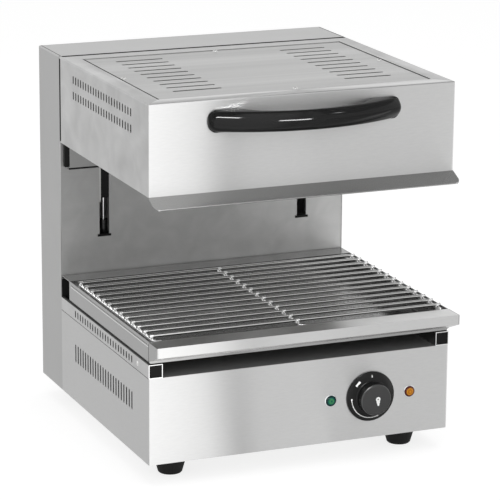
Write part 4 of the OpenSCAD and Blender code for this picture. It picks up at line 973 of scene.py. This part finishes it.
# %% Pan-head screws
screw_head, screw_rise, screw_edge = 3.6, 1.8, 0.35
cross_long, cross_wide, cross_tall = 3.0, 0.75, 1.5  # the bar that cuts the recess
up, rear = Vector((0, 0, 1)), Vector((0, 1, 0))
dome = [(screw_head, 0), (screw_head, screw_edge)] + [
    (screw_head * math.cos(a) ** 0.6, screw_edge + (screw_rise - screw_edge) * math.sin(a))
    for a in quarter[1:6]]
screw = turned("screw_model", Vector(), dome, up, sides=32, angle=40)
for turn in (0, math.pi / 2):
    clear_selection()
    bpy.ops.mesh.primitive_cube_add(size=1, rotation=(0, 0, turn),
                                    location=(0, 0, screw_rise * mm))
    bar = bpy.context.object
    bar.scale = (cross_long * mm, cross_wide * mm, cross_tall * mm)
    bpy.ops.object.transform_apply()
    select_only(screw)
    cut = screw.modifiers.new("cross", "BOOLEAN")
    cut.operation, cut.object = "DIFFERENCE", bar
    bpy.ops.object.modifier_apply(modifier=cut.name)
    bpy.data.objects.remove(bar)


# %% Set the screws down
def copy_of(model, name, matrix):
    """A copy of a model with a mesh of its own, at the place that a matrix gives."""
    copy = bpy.data.objects.new(name, model.data.copy())
    bpy.context.scene.collection.objects.link(copy)
    copy.matrix_world = matrix
    return copy


def seats(node, way):
    """Where the screws of a node sit: under the highest points of their heads."""
    points = [v.co for v in nodes[node].data.vertices]
    highest = max(way.dot(p) for p in points)
    found = []
    for point in points:
        if way.dot(point) > highest - 0.02 * mm:
            seat = point - way * screw_rise * mm
            if all((seat - other).length > 5 * mm for other in found):
                found.append(seat)
    return found


def screws_like(model, node, way, body, name):
    """Copies of the model, each with its own mesh, in place of the screws of a node."""
    turn = way.to_track_quat("Z", "Y").to_matrix().to_4x4()
    copies = [copy_of(model, name, Matrix.Translation(place) @ turn)
              for place in seats(node, way)]
    print(node, "has", len(copies), "screws")
    heads = joined(copies, name, 40)
    heads.data.materials.append(bright_screw)
    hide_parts(node)
    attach(heads, body)


screws_like(screw, "top_plate_screws", up, "head", "plate_screw_heads")
screws_like(screw, "rear_cover_screws", rear, "cabinet", "cover_screw_heads")
bpy.data.objects.remove(screw)

# %% [markdown]
# ## Welds of the rack
#
# Each cross wire is spot welded to the three support wires under it. The two wires melt
# together into a small nugget that runs out along the support wire, and it wears the painted
# highlight of the support wires. One nugget is drawn out of a ball, and the others are
# copies of it.

# %% Weld nuggets
low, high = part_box("wire_rack")
wire_count, wire_pitch = 13, 24 * mm
last_wire = high.y - 3 * mm
contact = low.z + 2 * support_r
clear_selection()
bpy.ops.mesh.primitive_ico_sphere_add(subdivisions=2, radius=2.1 * mm)
nugget = bpy.context.object
edit(nugget)
pick(nugget, lambda co: abs(co.y) > 0.8 * mm)
bpy.ops.transform.resize(value=(0.7, 3.6, 0.7), center_override=(0, 0, 0))
bpy.ops.mesh.select_all(action="SELECT")
bpy.ops.transform.resize(value=(0.62, 1, 0.75), center_override=(0, 0, 0))
bpy.ops.object.mode_set(mode="OBJECT")
crossings = [(x, last_wire - wire * wire_pitch, contact)
             for x in (-support_x, 0, support_x) for wire in range(wire_count)]
copies = [copy_of(nugget, "weld", Matrix.Translation(place)) for place in crossings]
bpy.data.objects.remove(nugget)
welds = joined(copies, "rack_welds", 60)
welds.data.materials.append(bright_wire)
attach(welds, "rack")
for piece in (welds, nodes["wire_rack"]):
    lit["rack_glints"].objects.link(piece)

# %% [markdown]
# ## Painted shade in the joints
#
# Thin black strips paint the shade in the gaps: where the head slides past the column, at
# the front and the sides of the top plate, under the lower edge of each slot guard, in the
# open fold on top of the column, where each rail sits on the base and where the tray's nose
# box is folded shut. A black buffer behind each rail stops the tray, and it also paints the
# shade in the dark opening there. Each is a thin strip, drawn as a plane and thickened. A
# bright strip on each side of the tray is a painted highlight.

# %% Joint strips
def joint_strip(corners, normal, height):
    """A thin strip with four corners in order round it, in mm, raised along its normal."""
    strip = plane_between([[c * mm for c in corner] for corner in corners])
    edit(strip, "FACE", "SELECT")
    bpy.ops.mesh.extrude_region_move(
        TRANSFORM_OT_translate={"value": Vector(normal) * height * mm})
    bpy.ops.object.mode_set(mode="OBJECT")
    return strip


def on_top(x0, x1, y0, y1, z, height=0.12):
    """A strip that lies level."""
    return joint_strip([(x0, y0, z), (x1, y0, z), (x1, y1, z), (x0, y1, z)], (0, 0, 1), height)


def on_sides(x, y0, y1, z0, z1, height=0.12):
    """Two upright strips that face left and right, at x on each side."""
    return [joint_strip([(s * x, y0, z0), (s * x, y1, z0), (s * x, y1, z1), (s * x, y0, z1)],
                        (s, 0, 0), height) for s in (-1, 1)]


def on_front(x0, x1, y, z0, z1, height=0.12):
    """Two upright strips that face the front, from x0 to x1 on each side."""
    return [joint_strip([(s * x0, y, z0), (s * x1, y, z0), (s * x1, y, z1), (s * x0, y, z1)],
                        (0, -1, 0), height) for s in (-1, 1)]


def box_mm(node):
    """The low and the high corner of a node, in mm."""
    return (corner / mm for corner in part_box(node))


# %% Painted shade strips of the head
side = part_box("base_wrap")[1].x / mm
low, high = box_mm("head_rear_panel")
shade_end, shade_top, shade_side = 3, 6, 4
# painted shade in the joint between the head and the column
head_shades = [on_top(-side + shade_end, side - shade_end, high.y - shade_top, high.y, high.z)]
head_shades += on_sides(side, high.y - shade_side, high.y, low.z + 2, high.z - shade_end)
low, high = box_mm("top_plate")
# painted shade round the front and the sides of the top plate
head_shades += [on_top(low.x - 2.2, low.x + 2.2, low.y, high.y, high.z),
         on_top(high.x - 0.2, high.x + 0.9, low.y, high.y, high.z),
         on_top(low.x, high.x, low.y - 1.0, low.y, high.z)]
low, high = box_mm("slot_guards")
guard_inner = 166
# painted shade under the lower edge of the slot guards
head_shades += on_front(guard_inner, high.x, low.y, low.z, low.z + 2.5)
head_shade_strips = joined(head_shades, "head_shade_strips")
head_shade_strips.data.materials.append(shade_and_buffer_black)
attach(head_shade_strips, "head")

# %% Painted shade in the column's folds and seams, and the buffers
low, high = box_mm("column_shell")
fold_x = side - 3.2
# painted shade in the open folds on top of the column
column_shades = [on_top(x - 0.5, x + 0.5, low.y + 0.5, high.y - 2, high.z, 0.06)
         for x in (-fold_x, fold_x)]
low, high = box_mm("rail_left")
# painted shade where each rail sits on the base
column_shades += on_sides(side, low.y, high.y, low.z - 0.3, low.z + 0.4, 0.05)
buffer_inner, buffer_outer, buffer_low, buffer_high = 213, 223.8, 165, 200
wall_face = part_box("wall_panel")[0].y / mm
# black buffers behind the rails, which also paint the shade in the opening there
column_shades += on_front(buffer_inner, buffer_outer, wall_face, buffer_low, buffer_high, 0.5)
column_shades_and_buffers = joined(column_shades, "column_shades_and_buffers")
column_shades_and_buffers.data.materials.append(shade_and_buffer_black)
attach(column_shades_and_buffers, "cabinet")

# %% Lines of the tray
low, high = box_mm("drip_tray")
nose_back, tray_side, highlight_end, highlight_low, highlight_high = -212.6, 224.0, 110, 197.3, 198.5
# painted shade in the seam where the tray's nose box is folded shut
tray_seam_shade = joined(on_sides(high.x, nose_back - 0.6, nose_back + 0.6, low.z + 2, high.z - 2.5,
                             0.05), "tray_seam_shade")
tray_seam_shade.data.materials.append(shade_and_buffer_black)
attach(tray_seam_shade, "tray")
# painted highlight: a bright strip along each side of the tray
tray_side_highlights = joined(on_sides(tray_side, nose_back + 3, highlight_end, highlight_low, highlight_high, 0.3),
                   "tray_side_highlights")
tray_side_highlights.data.materials.append(highlight_steel)
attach(tray_side_highlights, "tray")
